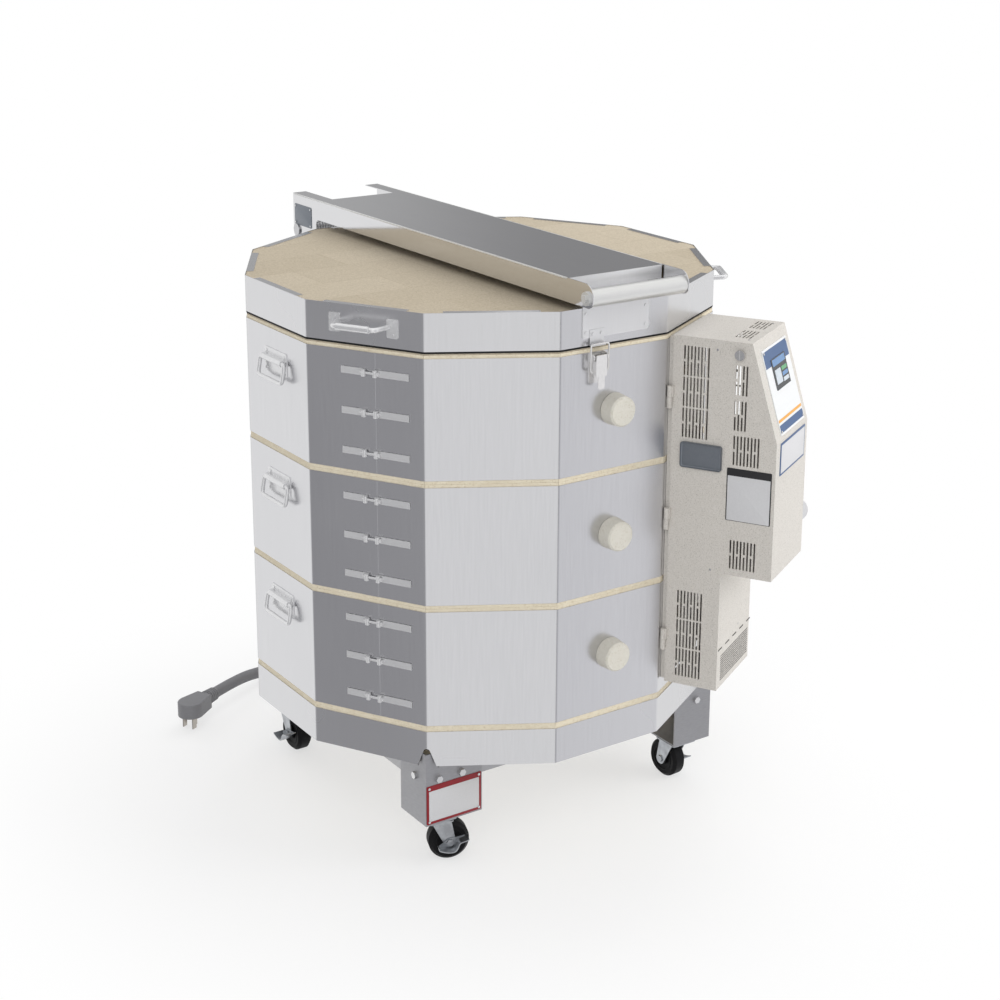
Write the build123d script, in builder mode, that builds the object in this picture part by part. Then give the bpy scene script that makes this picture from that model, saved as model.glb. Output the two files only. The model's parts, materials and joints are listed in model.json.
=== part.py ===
from build123d import *
import math
import os

# Electric kiln: twelve sides, three firebrick rings, hinged lid, swinging control case, caster stand.
# Millimetres, +Z up, ground at z = 0. The latch faces -Y and the lid hinge is behind, at +Y.

# The kiln's axis stands a little behind the origin, so that the origin is under the middle of the object.
AXIS_Y = 20

# Body
SIDES = 12
TURN = 360 / SIDES
ACROSS_FLATS = 864
SHEET = 1
BEND_R = 10
WRAP_FIT = 0.4
BRICK_DEPTH = 76
BRICK_JOINT = 0.4
STAND_H = 204
FLOOR_T = 73
FACE_RISE = 1
FACE_FIT = 2
RING_H = 229.4
RING_COUNT = 3
RING_JOINT = 0.4
WRAP_REVEAL = 6.3
FLOOR_BAND_H = 67.4
LID_T = 72
LID_REVEAL = 6
LID_CORNER_R = 25
TAB_LEN = 164
TAB_DEPTH = 14

# Element rows in each ring
ROWS = 3
ROW_PITCH = 68
GROOVE_H = 24
GROOVE_D = 18
HOLDER_WALL = 3.8
HOLDER_FIT = 0.3
HOLDER_LEN = 184
HOLDER_SPLIT = 24
COIL_R = 5.5
COIL_SET_IN = 7
COIL_BEND_R = 15
COIL_END_T = 20
PIN_R = 2.5
PIN_T = 17
PIN_HOLE_R = 4

# Sides by the direction they face, in degrees
FRONT = -90
CONTROL = -60
CLAMPS = -150
LID_HANDLE_SIDES = (-150, -30)
RING_HANDLE_SIDES = (180, 0)
REAR = 90

# Peephole plugs
PLUG_HEAD_R = 29
PLUG_FACE_R = 27
PLUG_HEAD_LEN = 28.6
PLUG_SHAFT_R = 18
PLUG_TIP_R = 16.5
PLUG_SHAFT_LEN = 55
PLUG_FIT = 0.5
PLUG_EDGE = 3

# Stand
LEG_T = 3
LEG_LONG = 120
LEG_SHORT = 88
LEG_H = 118.1
LEG_GAP = 0.4
TOOTH_H = 24
TOOTH_W = 12
TOOTH_FOOT = 26
VALLEY = 7
LEG_CORNER_X = 320
LEG_CORNER_X_RIGHT = 341
LEG_CORNER_Y = 319
POCKET_R = 26
POCKET_H = 40
NOTCH_W = 35
NOTCH_H = 45
NOTCH_R = 6
BOLT_R = 4
BOLT_FIT = 0.3
BOLT_HEAD_R = 7
BOLT_HEAD_H = 5
BOLT_DROP = 29.5
BOLT_LONG_1 = 27
BOLT_LONG_2 = 76
BOLT_SHORT = 36
RAIL_T = 3
RAIL_H = 44
RAIL_FLANGE = 20
RAIL_FIT = 0.3

# Casters
WHEEL_R = 38.1
WHEEL_W = 31
WHEEL_EDGE = 6
HUB_W = 34.2
HUB_R = 13
AXLE_R = 4.05
AXLE_FIT = 0.08
CASTER_TRAIL = 22
CASTER_INSETS = ((39, 30), (30, 60), (55, 54), (54, 33))
CASTER_PLATE = 58
CASTER_PLATE_T = 2.5
RACE_R = 20
RACE_T = 2.4
SWIVEL_GAP = 0.3
CROWN_T = 2.4
CROWN_LEN = 46
CHEEK_T = 2.5
CHEEK_GAP = 0.4
CHEEK_R = 11
BRAKE_T = 2
BRAKE_HUB_R = 8
PEDAL_W = 22
PEDAL_LINE = ((-24, -5), (-14, -9), (-5, -10.8), (6, -9.5), (12, -1), (16, 6), (22, 8), (32, 12))
PEDAL_ROOTS = ((-20, -6), (26, 10))
CASTER_HEADINGS = (340, 94, 150, 271)

# Band clamps
CLAMP_PITCH = 72.5
STRAP_H = 12.5
STRAP_T = 1
STRAP_OFF = 0.9
STRAP_LEFT_END = -45
STRAP_RIGHT_END = 88
BARREL_R = 4
BARREL_LEFT = 1
BARREL_RIGHT = 24
CLAMP_SCREW_R = 2.2
CLAMP_SCREW_FIT = 0.2
CLAMP_SCREW_START = -7
CLAMP_SCREW_END = 32
CLAMP_HEAD_R = 3.8
CLAMP_HEAD_H = 4
FLAP_LEFT = -9.6
FLAP_RIGHT = 22
FLAP_T = 0.6

# Ring handles
HANDLE_PLATE_W = 85
HANDLE_PLATE_H = 46
HANDLE_PLATE_LIFT = 141
HANDLE_PLATE_T = 1.5
HANDLE_AXIS_LIFT = 170
HANDLE_AXIS_OUT = 7.5
HANDLE_BARREL_R = 6
HANDLE_BARREL_LEN = 76
BAIL_R = 3.8
BAIL_FIT = 0.1
BAIL_W = 92.4
BAIL_DROP = 36
BAIL_CORNER_R = 9
BAIL_TILT = 10
RIVET_R = 3
RIVET_H = 1.4

# Lid handles
GRIP_ROOT = 50
GRIP_HALF = 41
GRIP_OUT = 36
GRIP_ROD_R = 4.5
GRIP_BEND_R = 10
SLEEVE_R = 6.2
SLEEVE_LEN = 64
SLEEVE_FIT = 0.1
FOOT_W = 22
FOOT_H = 34
FOOT_T = 1.5
FOOT_T_MID = 57
FOOT_LIFT = 33
GRIP_DROP = -2.5

# Hinge channel, measured from the lid's slab top
CHANNEL_W = 204
CHANNEL_T = 1.5
CHANNEL_RISE = 57.4
CHANNEL_SKIRT = 15.9
CHANNEL_FRONT = -432
CHANNEL_DECK_REAR = 437
CHANNEL_TAIL = 552
ARM_FLANGE = 30
ARM_START = 453
ARM_DROP = 34
ARM_CORNER_R = 10
NOSE_R_TOP = 22
NOSE_R_LOW = 14
SLIT_W = 3
TUBE_Y = -487
TUBE_RISE = 32.4
TUBE_R = 15.5
TUBE_WALL = 2
TUBE_FIT = 0.3
NOSE_PAST_TUBE = 16
CAP_R = 12
CAP_T = 4
CAP_BOLT_R = 7
CAP_BOLT_H = 4
CAP_SHANK_R = 5
SPRING_BAR_Y = 425
SPRING_BAR_RISE = 40
SPRING_BAR_R = 6

# Front bracket between the lid and the tube
BRACKET_W = 142
BRACKET_T = 1.5
BRACKET_DROP = 53
BRACKET_FIT = 0.3

# Rear hinge
PIVOT_Y = 535
PIVOT_DROP = 17.6
ROD_R = 8
ROD_FIT = 0.08
ROD_CAP_R = 12
ROD_CAP_T = 3
ROD_CAP_GAP = 0.4
CHEEK_X = 96
HINGE_CHEEK_T = 3
HINGE_PLATE_T = 2
HINGE_PLATE_H = 190
HINGE_PLATE_TOP = 84
HINGE_EYE_R = 20
SPRING_R = 21
SPRING_BORE_R = 8.5
SPRING_IN = 12
SPRING_OUT = 88
SPRING_WIRE_R = 3

# Draw latch
LATCH_X = -41
LATCH_BASE_W = 30
LATCH_BASE_TOP = 755
LATCH_BASE_LOW = 700
LATCH_T = 1.5
LATCH_PIVOT_Z = 747
LATCH_PIVOT_OUT = 9.5
LATCH_BAIL_Z = 722
LATCH_BAIL_OUT = 11
LATCH_EAR_R = 7
LEVER_W = 23
LEVER_TOP = 752
LEVER_LOW = 714
LEVER_TIP = 691
LEVER_TIP_W = 14
LEVER_OUT = 16
LATCH_PIN_R = 2
LATCH_PIN_FIT = 0.1
LOOP_W = 38
LOOP_TOP = 771
LOOP_R = 1.8
LOOP_BEND_R = 5
CATCH_W = 30
CATCH_TOP = 795
CATCH_LOW = 766.6
CATCH_T = 1.2
CATCH_LIP_OUT = 6
CATCH_LIP_H = 5
LOOP_CLEAR = 1.4

# Control case, as distances from the kiln's axis (out) and heights above the floor band's lower edge
CASE_LEFT = -108
CASE_W = 176
CASE_T = 1.5
CASE_BACK = 440.5
CASE_LOWER_OUT = 542
CASE_UPPER_OUT = 637
CASE_TOP_OUT = 586
CASE_LOW = 101
CASE_STEP = 331
CASE_SLANT_LOW = 587
CASE_TOP = 762
SLOT_W = 3.2
SLOT_LONG = 54
SLOT_SHORT = 24.7
SLOT_COLUMN = 6.4
SLOT_UNIT = 57
# Vent groups: distance out and height at the middle of the lowest slot of the first column, columns, units
VENTS = (
    (462.2, 604, 8, 3),
    (463, 144, 8, 3),
    (559, 693.3, 4, 1),
    (558.5, 629, 4, 1),
    (559, 565.3, 8, 1),
    (559.3, 370.7, 8, 1),
)
TOP_VENT_OUT = 543
TOP_VENT_T = (-48.5, 25)
TOP_VENT_COLUMNS = 5
PAN_INSET = 4
PAN_T = 1.5
PAN_OFF = 0.3
PAN_DEPTH = 7.2
WIRING_BOX_LEFT = 69.5
WIRING_BOX_RIGHT = 110
WIRING_BOX_OUT = 482
WIRING_BOX_LOW = 112
WIRING_BOX_TOP = 190
KNUCKLE_Z = (649, 420, 186)
KNUCKLE_R = 4.5
KNUCKLE_LEN = 20
KNUCKLE_GAP = 0.4
KNUCKLE_PIN_R = 2
KNUCKLE_PIN_FIT = 0.08
KNUCKLE_T = -112.8
KNUCKLE_OUT = 437.6
PANEL_W = 131.5
PANEL_H = 154
PANEL_T = 1.5
PANEL_T_MID = -14.75
PANEL_MID_DOWN = 98
SCREEN_W = 75
SCREEN_H = 56
SCREEN_T = 1
SCREEN_T_MID = -12.5
SCREEN_MID_DOWN = 72
KNOB_OUT = 615
KNOB_Z = 400
KNOB_R = 22
KNOB_LEN = 34
KNOB_GAP = 0.4
KNOB_SHAFT_R = 5
KNOB_SHAFT_FIT = 0.3
KNOB_BAR_W = 9
KNOB_BAR_H = 7
LOCK_OUT = 565.5
LOCK_Z = 740
LOCK_R = 9
LOCK_LEN = 7
LOCK_SHAFT_R = 3.5
LOCK_CAM_LEN = 26
LOCK_CAM_W = 9
LOCK_CAM_T = 2
LOCK_CAM_IN = 3

# Inside the case
BLOCK_W = 60
BLOCK_H = 160
BLOCK_T = 17
RELAY_W = 44
RELAY_H = 52
RELAY_D = 38
RELAY_PITCH = 54
RELAY_Z = 150
TRANSFORMER_W = 60
TRANSFORMER_H = 55
TRANSFORMER_D = 48
TRANSFORMER_Z = 375
COUPLE_T = -50
COUPLE_R = 4
COUPLE_HOLE_R = 4.6
COUPLE_REACH = 22
COUPLE_HEAD = 20
COUPLE_HEAD_OUT = 12

# Cord, gland and plug
CORD_R = 12
GLAND_OUT = 459
GLAND_Z = 151
GLAND_R = 19
GLAND_LEN = 14
GLAND_TIP_R = 14
GLAND_TIP_LEN = 46
GLAND_COLLAR_R = 22
GLAND_COLLAR_T = 5
CORD_LEAD = 82
CORD_TAIL = 84
CORD_ROUTE = (
    (493, -205, 328),
    (524, -118, 285),
    (537, -22, 225),
    (534, 74, 155),
    (517, 165, 88),
    (484, 250, 34),
    (434, 332, 12),
    (368, 409, 12),
    (288, 475, 12),
    (196, 528, 12),
    (96, 566, 12),
    (-10, 588, 12),
    (-112, 590, 12.5),
    (-202, 569, 25),
)
PLUG_X = -428
PLUG_Y = 453
PLUG_HEADING = 27
PLUG_LIFT = 27
PLUG_THICK = 31
PLUG_NOSE_R = 27
PLUG_BODY_LEN = 48
PLUG_TAIL_W = 36
PLUG_NECK_LEN = 34
PLUG_NECK_R = 15
BLADE_W = 12
BLADE_T = 2
BLADE_SPREAD = 12.5
GROUND_R = 4
GROUND_BACK = 19
BLADE_FORWARD = -6

# Values worked out from the ones above
APOTHEM = ACROSS_FLATS / 2
CORNER_R = APOTHEM / math.cos(math.radians(TURN / 2))
BRICK_OUT = APOTHEM - SHEET - WRAP_FIT
CHAMBER = BRICK_OUT - BRICK_DEPTH
FLOOR_TOP = STAND_H + FLOOR_T
RINGS_TOP = FLOOR_TOP + RING_COUNT * RING_H
LID_LOW = RINGS_TOP
LID_TOP = LID_LOW + LID_T
COIL_OUT = CHAMBER + COIL_SET_IN
DECK_Z = LID_TOP + CHANNEL_RISE
SKIRT_Z = LID_TOP + CHANNEL_SKIRT
TUBE_Z = LID_TOP + TUBE_RISE
PIVOT_Z = LID_TOP - PIVOT_DROP
CHANNEL_X = CHANNEL_W / 2
LEG_FOOT_Z = STAND_H - LEG_H - LEG_GAP
CASE_RIGHT = CASE_LEFT + CASE_W
BRACKET_FACE = APOTHEM + BRACKET_T
catch_face = BRACKET_FACE + CATCH_T
SIDE_ANGLES = [FRONT + TURN * k for k in range(SIDES)]
RING_NAMES = ("lower", "middle", "upper")
CORNER_NAMES = ("front_left", "front_right", "rear_right", "rear_left")


def outward(angle):
    """Unit vector that points away from the kiln's axis."""
    return Vector(math.cos(math.radians(angle)), math.sin(math.radians(angle)), 0)


def level(z, x=0, y=0):
    """Level plane at height z, placed from the kiln's axis."""
    return Plane(origin=(x, AXIS_Y + y, z))


def spot_on(angle, out, z, t=0):
    """Point a distance out from the axis, and t along the side that faces this way."""
    spot = outward(angle) * out + outward(angle + 90) * t
    return Vector(spot.X, AXIS_Y + spot.Y, z)


def wall(angle, out, z, t=0):
    """Plane that lies on a side: x runs along the side, y is up and z points outwards."""
    return Plane(origin=spot_on(angle, out, z, t), x_dir=outward(angle + 90), z_dir=outward(angle))


def across(angle, out, z, t=0):
    """Plane square to a side: x points outwards, y is up and z runs back along the side."""
    return Plane(origin=spot_on(angle, out, z, t), x_dir=outward(angle), z_dir=outward(angle - 90))


def slice_at(x):
    """Plane square to X: its x is the kiln's Y and its y is height."""
    return Plane(origin=(x, AXIS_Y, 0), x_dir=(0, 1, 0), z_dir=(1, 0, 0))


def ring_base(ring):
    return FLOOR_TOP + ring * RING_H


def ring_middle(ring):
    return ring_base(ring) + RING_H / 2


def row_height(ring, row):
    return ring_middle(ring) + (row - (ROWS - 1) / 2) * ROW_PITCH


def sheet_outline(apothem):
    """Outline of a thin band with rounded bends, its outer faces at this distance."""
    with BuildSketch() as outline:
        RegularPolygon(apothem, SIDES, major_radius=False, rotation=TURN / 2)
        fillet(outline.vertices(), BEND_R)
        offset(amount=-SHEET, mode=Mode.SUBTRACT)
    return outline.sketch


def save(part, name):
    part.label = name
    export_step(part, "parts/" + name + ".step")


os.makedirs("parts", exist_ok=True)

# Floor slab, with a pocket over each leg's tooth
with BuildPart() as floor_slab:
    with BuildSketch(level(STAND_H)):
        RegularPolygon(BRICK_OUT, SIDES, major_radius=False, rotation=TURN / 2)
    extrude(amount=FLOOR_T)
    with BuildSketch(level(STAND_H)):
        with PolarLocations(CORNER_R, 4, start_angle=45):
            Circle(POCKET_R)
    extrude(amount=POCKET_H, mode=Mode.SUBTRACT)
    with BuildSketch(level(FLOOR_TOP)):
        RegularPolygon(CHAMBER - FACE_FIT, SIDES, major_radius=False, rotation=TURN / 2)
    extrude(amount=FACE_RISE)
save(floor_slab.part, "floor_slab")

# Floor band, with an arched notch at each leg
with BuildPart() as floor_band:
    with BuildSketch(level(STAND_H)):
        add(sheet_outline(APOTHEM))
    extrude(amount=FLOOR_BAND_H)
    for corner in (45, 135, 225, 315):
        with BuildSketch(wall(corner, CORNER_R - POCKET_R, STAND_H)) as notch:
            Polygon((-NOTCH_W / 2, -1), (NOTCH_W / 2, -1), (0, NOTCH_H), align=None)
            fillet(notch.vertices().sort_by(Axis.Y)[-1], NOTCH_R)
        extrude(amount=2 * POCKET_R, mode=Mode.SUBTRACT)
save(floor_band.part, "floor_band")

# Firebrick rings: twelve grooved bricks each
half_inner = CHAMBER * math.tan(math.radians(TURN / 2)) - BRICK_JOINT / 2
half_outer = BRICK_OUT * math.tan(math.radians(TURN / 2)) - BRICK_JOINT / 2
for ring, ring_name in enumerate(RING_NAMES):
    with BuildPart() as bricks:
        seats = [Plane(origin=(0, AXIS_Y, ring_base(ring)), x_dir=outward(a)) for a in SIDE_ANGLES]
        with BuildSketch(*seats):
            Polygon(
                (CHAMBER, -half_inner), (BRICK_OUT, -half_outer),
                (BRICK_OUT, half_outer), (CHAMBER, half_inner), align=None,
            )
        extrude(amount=RING_H - RING_JOINT)
        grooves = [wall(a, CHAMBER, row_height(ring, row)) for a in SIDE_ANGLES for row in range(ROWS)]
        with BuildSketch(*grooves):
            Rectangle(2 * half_outer, GROOVE_H)
        extrude(amount=GROOVE_D, mode=Mode.SUBTRACT)
        with BuildSketch(wall(FRONT, CHAMBER, ring_middle(ring))):
            Circle(PLUG_SHAFT_R + PLUG_FIT)
        extrude(amount=BRICK_DEPTH, mode=Mode.SUBTRACT)
        with BuildSketch(*[wall(CONTROL, CHAMBER, row_height(ring, row)) for row in range(ROWS)]):
            with Locations((-PIN_T, 0), (PIN_T, 0)):
                Circle(PIN_HOLE_R)
        extrude(amount=BRICK_DEPTH, mode=Mode.SUBTRACT)
        with BuildSketch(wall(CONTROL, CHAMBER, ring_middle(ring) + ROW_PITCH / 2, COUPLE_T)):
            Circle(COUPLE_HOLE_R)
        extrude(amount=BRICK_DEPTH, mode=Mode.SUBTRACT)
    save(bricks.part, "ring_bricks_" + ring_name)

# Stainless wraps, one a ring, with their overlap flap under the clamps
with BuildPart() as ring_wraps:
    wrap_h = RING_H - 2 * WRAP_REVEAL
    for ring in range(RING_COUNT):
        with BuildSketch(level(ring_base(ring) + WRAP_REVEAL)):
            add(sheet_outline(APOTHEM))
        extrude(amount=wrap_h)
        with BuildSketch(wall(CLAMPS, APOTHEM - SHEET / 2, ring_middle(ring), (FLAP_LEFT + FLAP_RIGHT) / 2)):
            Rectangle(FLAP_RIGHT - FLAP_LEFT, wrap_h)
        extrude(amount=SHEET / 2 + FLAP_T)
        with BuildSketch(wall(FRONT, BRICK_OUT, ring_middle(ring))):
            Circle(PLUG_SHAFT_R + PLUG_FIT)
        extrude(amount=SHEET + 2, mode=Mode.SUBTRACT)
        with BuildSketch(*[wall(CONTROL, BRICK_OUT, row_height(ring, row)) for row in range(ROWS)]):
            with Locations((-PIN_T, 0), (PIN_T, 0)):
                Circle(PIN_HOLE_R)
        extrude(amount=SHEET + 2, mode=Mode.SUBTRACT)
        with BuildSketch(wall(CONTROL, BRICK_OUT, ring_middle(ring) + ROW_PITCH / 2, COUPLE_T)):
            Circle(COUPLE_HOLE_R)
        extrude(amount=SHEET + 2, mode=Mode.SUBTRACT)
save(ring_wraps.part, "ring_wraps")

# Ceramic holders that sit in the grooves; the control side's are split for the element tails
with BuildPart() as element_holders:
    side_len = (HOLDER_LEN - 2 * HOLDER_SPLIT) / 2
    side_mid = HOLDER_SPLIT + side_len / 2
    for length, seats in (
        (HOLDER_LEN, [(a, 0) for a in SIDE_ANGLES if a != CONTROL]),
        (side_len, [(CONTROL, -side_mid), (CONTROL, side_mid)]),
    ):
        rows = [
            across(a, CHAMBER, row_height(ring, row), t)
            for a, t in seats for ring in range(RING_COUNT) for row in range(ROWS)
        ]
        with BuildSketch(*rows):
            with Locations(((GROOVE_D - HOLDER_FIT) / 2, 0)):
                Rectangle(GROOVE_D - HOLDER_FIT, GROOVE_H - 2 * HOLDER_FIT)
            with Locations(((GROOVE_D - HOLDER_FIT - HOLDER_WALL) / 2, 0)):
                Rectangle(
                    GROOVE_D - HOLDER_FIT - HOLDER_WALL,
                    GROOVE_H - 2 * HOLDER_FIT - 2 * HOLDER_WALL, mode=Mode.SUBTRACT,
                )
        extrude(amount=length / 2, both=True)
save(element_holders.part, "element_holders")

# Heating elements: each coil's outer shape, open at the control side where its tails leave
with BuildPart() as heating_elements:
    coil_corner = COIL_OUT / math.cos(math.radians(TURN / 2))
    for ring in range(RING_COUNT):
        for row in range(ROWS):
            z = row_height(ring, row)
            corners = [spot_on(CONTROL + TURN / 2 + TURN * k, coil_corner, z) for k in range(SIDES)]
            ends = [spot_on(CONTROL, COIL_OUT, z, COIL_END_T), spot_on(CONTROL, COIL_OUT, z, -COIL_END_T)]
            with BuildLine() as coil_path:
                FilletPolyline(ends[0], *corners, ends[1], radius=COIL_BEND_R)
            with BuildSketch(Plane(origin=ends[0], z_dir=outward(CONTROL + 90))):
                Circle(COIL_R)
            sweep(path=coil_path.line)
save(heating_elements.part, "heating_elements")

# Terminal pins and their ceramic blocks on the back pan
pan_face = APOTHEM + PAN_OFF + PAN_T
with BuildPart() as terminal_blocks:
    for ring in range(RING_COUNT):
        with BuildSketch(wall(CONTROL, pan_face, ring_middle(ring))):
            Rectangle(BLOCK_W, BLOCK_H)
        extrude(amount=BLOCK_T)
        with BuildSketch(*[wall(CONTROL, COIL_OUT, row_height(ring, row)) for row in range(ROWS)]):
            with Locations((-PIN_T, 0), (PIN_T, 0)):
                Circle(PIN_R)
        extrude(amount=pan_face + BLOCK_T + 4 - COIL_OUT)
save(terminal_blocks.part, "terminal_blocks")

# Thermocouples: a ceramic sheath through the wall and a connector head on the pan
with BuildPart() as thermocouples:
    for ring in range(RING_COUNT):
        z = ring_middle(ring) + ROW_PITCH / 2
        with BuildSketch(wall(CONTROL, CHAMBER - COUPLE_REACH, z, COUPLE_T)):
            Circle(COUPLE_R)
        extrude(amount=pan_face + COUPLE_HEAD_OUT - CHAMBER + COUPLE_REACH)
        with BuildSketch(wall(CONTROL, pan_face, z, COUPLE_T)):
            RectangleRounded(COUPLE_HEAD, COUPLE_HEAD, 3)
        extrude(amount=COUPLE_HEAD_OUT)
save(thermocouples.part, "thermocouples")

# Peephole plugs: tapered shaft and a wide head with eased edges
for ring, ring_name in enumerate(RING_NAMES):
    with BuildPart() as peephole_plug:
        with BuildSketch(slice_at(0)):
            face = -APOTHEM - WRAP_FIT
            z = ring_middle(ring)
            Polygon(
                (face + PLUG_SHAFT_LEN, z), (face + PLUG_SHAFT_LEN, z + PLUG_TIP_R), (face, z + PLUG_SHAFT_R),
                (face, z + PLUG_HEAD_R), (face - PLUG_HEAD_LEN + PLUG_EDGE, z + PLUG_FACE_R),
                (face - PLUG_HEAD_LEN, z + PLUG_FACE_R - PLUG_EDGE), (face - PLUG_HEAD_LEN, z), align=None,
            )
        revolve(axis=Axis((0, AXIS_Y, ring_middle(ring)), (0, 1, 0)))
    save(peephole_plug.part, "peephole_plug_" + ring_name)

# Stand corners: the plane's x runs along the long wall and its y along the short one
leg_spots = (
    (-LEG_CORNER_X, -LEG_CORNER_Y, 0),
    (LEG_CORNER_X_RIGHT, -LEG_CORNER_Y, 90),
    (LEG_CORNER_X_RIGHT, LEG_CORNER_Y, 180),
    (-LEG_CORNER_X, LEG_CORNER_Y, 270),
)


def leg_plane(spot, z, x=0, y=0):
    """Level plane at a leg's outer corner, turned with the leg, x and y moved along its two walls."""
    corner_x, corner_y, turn = spot
    moved = outward(turn) * x + outward(turn + 90) * y
    return Plane(origin=(corner_x + moved.X, AXIS_Y + corner_y + moved.Y, z), x_dir=outward(turn))


def long_wall_plane(spot, x, z):
    """Plane on a leg's long wall: x along it, y up and z into the kiln."""
    base = leg_plane(spot, z, x)
    return Plane(origin=base.origin, x_dir=-base.x_dir, z_dir=base.y_dir)


def short_wall_plane(spot, y, z):
    """Plane on a leg's short wall: x along it, y up and z into the kiln."""
    base = leg_plane(spot, z, 0, y)
    return Plane(origin=base.origin, x_dir=base.y_dir, z_dir=base.x_dir)


def leg_profile(length, sign):
    """Outline of one wall, with the tooth that reaches up at the corner."""
    points = (
        (0, 0), (length, 0), (length, LEG_H), (TOOTH_FOOT + VALLEY, LEG_H),
        (TOOTH_FOOT, LEG_H - VALLEY), (TOOTH_W, LEG_H + TOOTH_H), (0, LEG_H + TOOTH_H),
    )
    Polygon(*[(sign * x, y) for x, y in points], align=None)


bolt_z = STAND_H - BOLT_DROP
with BuildPart() as stand_legs:
    for spot in leg_spots:
        with BuildSketch(leg_plane(spot, LEG_FOOT_Z)):
            Rectangle(LEG_LONG, LEG_SHORT, align=(Align.MIN, Align.MIN))
        extrude(amount=LEG_T)
        with BuildSketch(long_wall_plane(spot, 0, LEG_FOOT_Z)):
            leg_profile(LEG_LONG, -1)
        extrude(amount=LEG_T)
        with BuildSketch(short_wall_plane(spot, 0, LEG_FOOT_Z)):
            leg_profile(LEG_SHORT, 1)
        extrude(amount=LEG_T)
        with BuildSketch(long_wall_plane(spot, BOLT_LONG_1, bolt_z), long_wall_plane(spot, BOLT_LONG_2, bolt_z)):
            Circle(BOLT_R + BOLT_FIT)
        extrude(amount=LEG_T, mode=Mode.SUBTRACT)
        with BuildSketch(short_wall_plane(spot, BOLT_SHORT, bolt_z)):
            Circle(BOLT_R + BOLT_FIT)
        extrude(amount=LEG_T, mode=Mode.SUBTRACT)
save(stand_legs.part, "stand_legs")

# Angle rails that join the legs under the floor
rail_top = STAND_H - LEG_GAP
left_in = -LEG_CORNER_X + LEG_T + RAIL_FIT
right_in = LEG_CORNER_X_RIGHT - LEG_T - RAIL_FIT
front_in = LEG_CORNER_Y - LEG_T - RAIL_FIT
long_rail = right_in - left_in
short_rail = 2 * (front_in - RAIL_T - RAIL_FLANGE - RAIL_FIT)
middle_x = (left_in + right_in) / 2
with BuildPart() as stand_rails:
    for place, length, turn in (
        ((middle_x, -front_in), long_rail, 0),
        ((middle_x, front_in), long_rail, 180),
        ((left_in, 0), short_rail, 270),
        ((right_in, 0), short_rail, 90),
    ):
        heading = outward(turn)
        foot = Plane(origin=(place[0], AXIS_Y + place[1], rail_top), x_dir=heading.rotate(Axis.Z, 90), z_dir=heading)
        with BuildSketch(foot):
            Rectangle(RAIL_T, RAIL_H, align=(Align.MIN, Align.MAX))
            Rectangle(RAIL_T + RAIL_FLANGE, RAIL_T, align=(Align.MIN, Align.MAX))
        extrude(amount=length / 2, both=True)
    for spot in leg_spots:
        with BuildSketch(long_wall_plane(spot, BOLT_LONG_1, bolt_z), long_wall_plane(spot, BOLT_LONG_2, bolt_z)):
            Circle(BOLT_R + BOLT_FIT)
        extrude(amount=2 * LEG_T + RAIL_FIT + 1, mode=Mode.SUBTRACT)
        with BuildSketch(short_wall_plane(spot, BOLT_SHORT, bolt_z)):
            Circle(BOLT_R + BOLT_FIT)
        extrude(amount=2 * LEG_T + RAIL_FIT + 1, mode=Mode.SUBTRACT)
save(stand_rails.part, "stand_rails")

# Hexagon bolts through leg and rail, each with its nut inside
with BuildPart() as stand_bolts:
    grip = LEG_T + RAIL_FIT + RAIL_T
    for spot in leg_spots:
        for seat in (
            long_wall_plane(spot, BOLT_LONG_1, bolt_z),
            long_wall_plane(spot, BOLT_LONG_2, bolt_z),
            short_wall_plane(spot, BOLT_SHORT, bolt_z),
        ):
            with BuildSketch(seat.offset(-BOLT_HEAD_H)):
                RegularPolygon(BOLT_HEAD_R, 6)
            extrude(amount=BOLT_HEAD_H)
            with BuildSketch(seat):
                Circle(BOLT_R)
            extrude(amount=grip)
            with BuildSketch(seat.offset(grip)):
                RegularPolygon(BOLT_HEAD_R, 6)
            extrude(amount=BOLT_HEAD_H)
save(stand_bolts.part, "stand_bolts")

# Casters: plate and race stay with the leg, the fork swivels, the wheel turns and the pedal rocks
caster_seats = [leg_plane(spot, LEG_FOOT_Z, *inset) for spot, inset in zip(leg_spots, CASTER_INSETS)]
with BuildPart() as caster_plates:
    with BuildSketch(*[seat.offset(-CASTER_PLATE_T) for seat in caster_seats]):
        RectangleRounded(CASTER_PLATE, CASTER_PLATE, 6)
    extrude(amount=CASTER_PLATE_T)
    with BuildSketch(*[seat.offset(-CASTER_PLATE_T - RACE_T) for seat in caster_seats]):
        Circle(RACE_R)
    extrude(amount=RACE_T)
save(caster_plates.part, "caster_plates")

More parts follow.
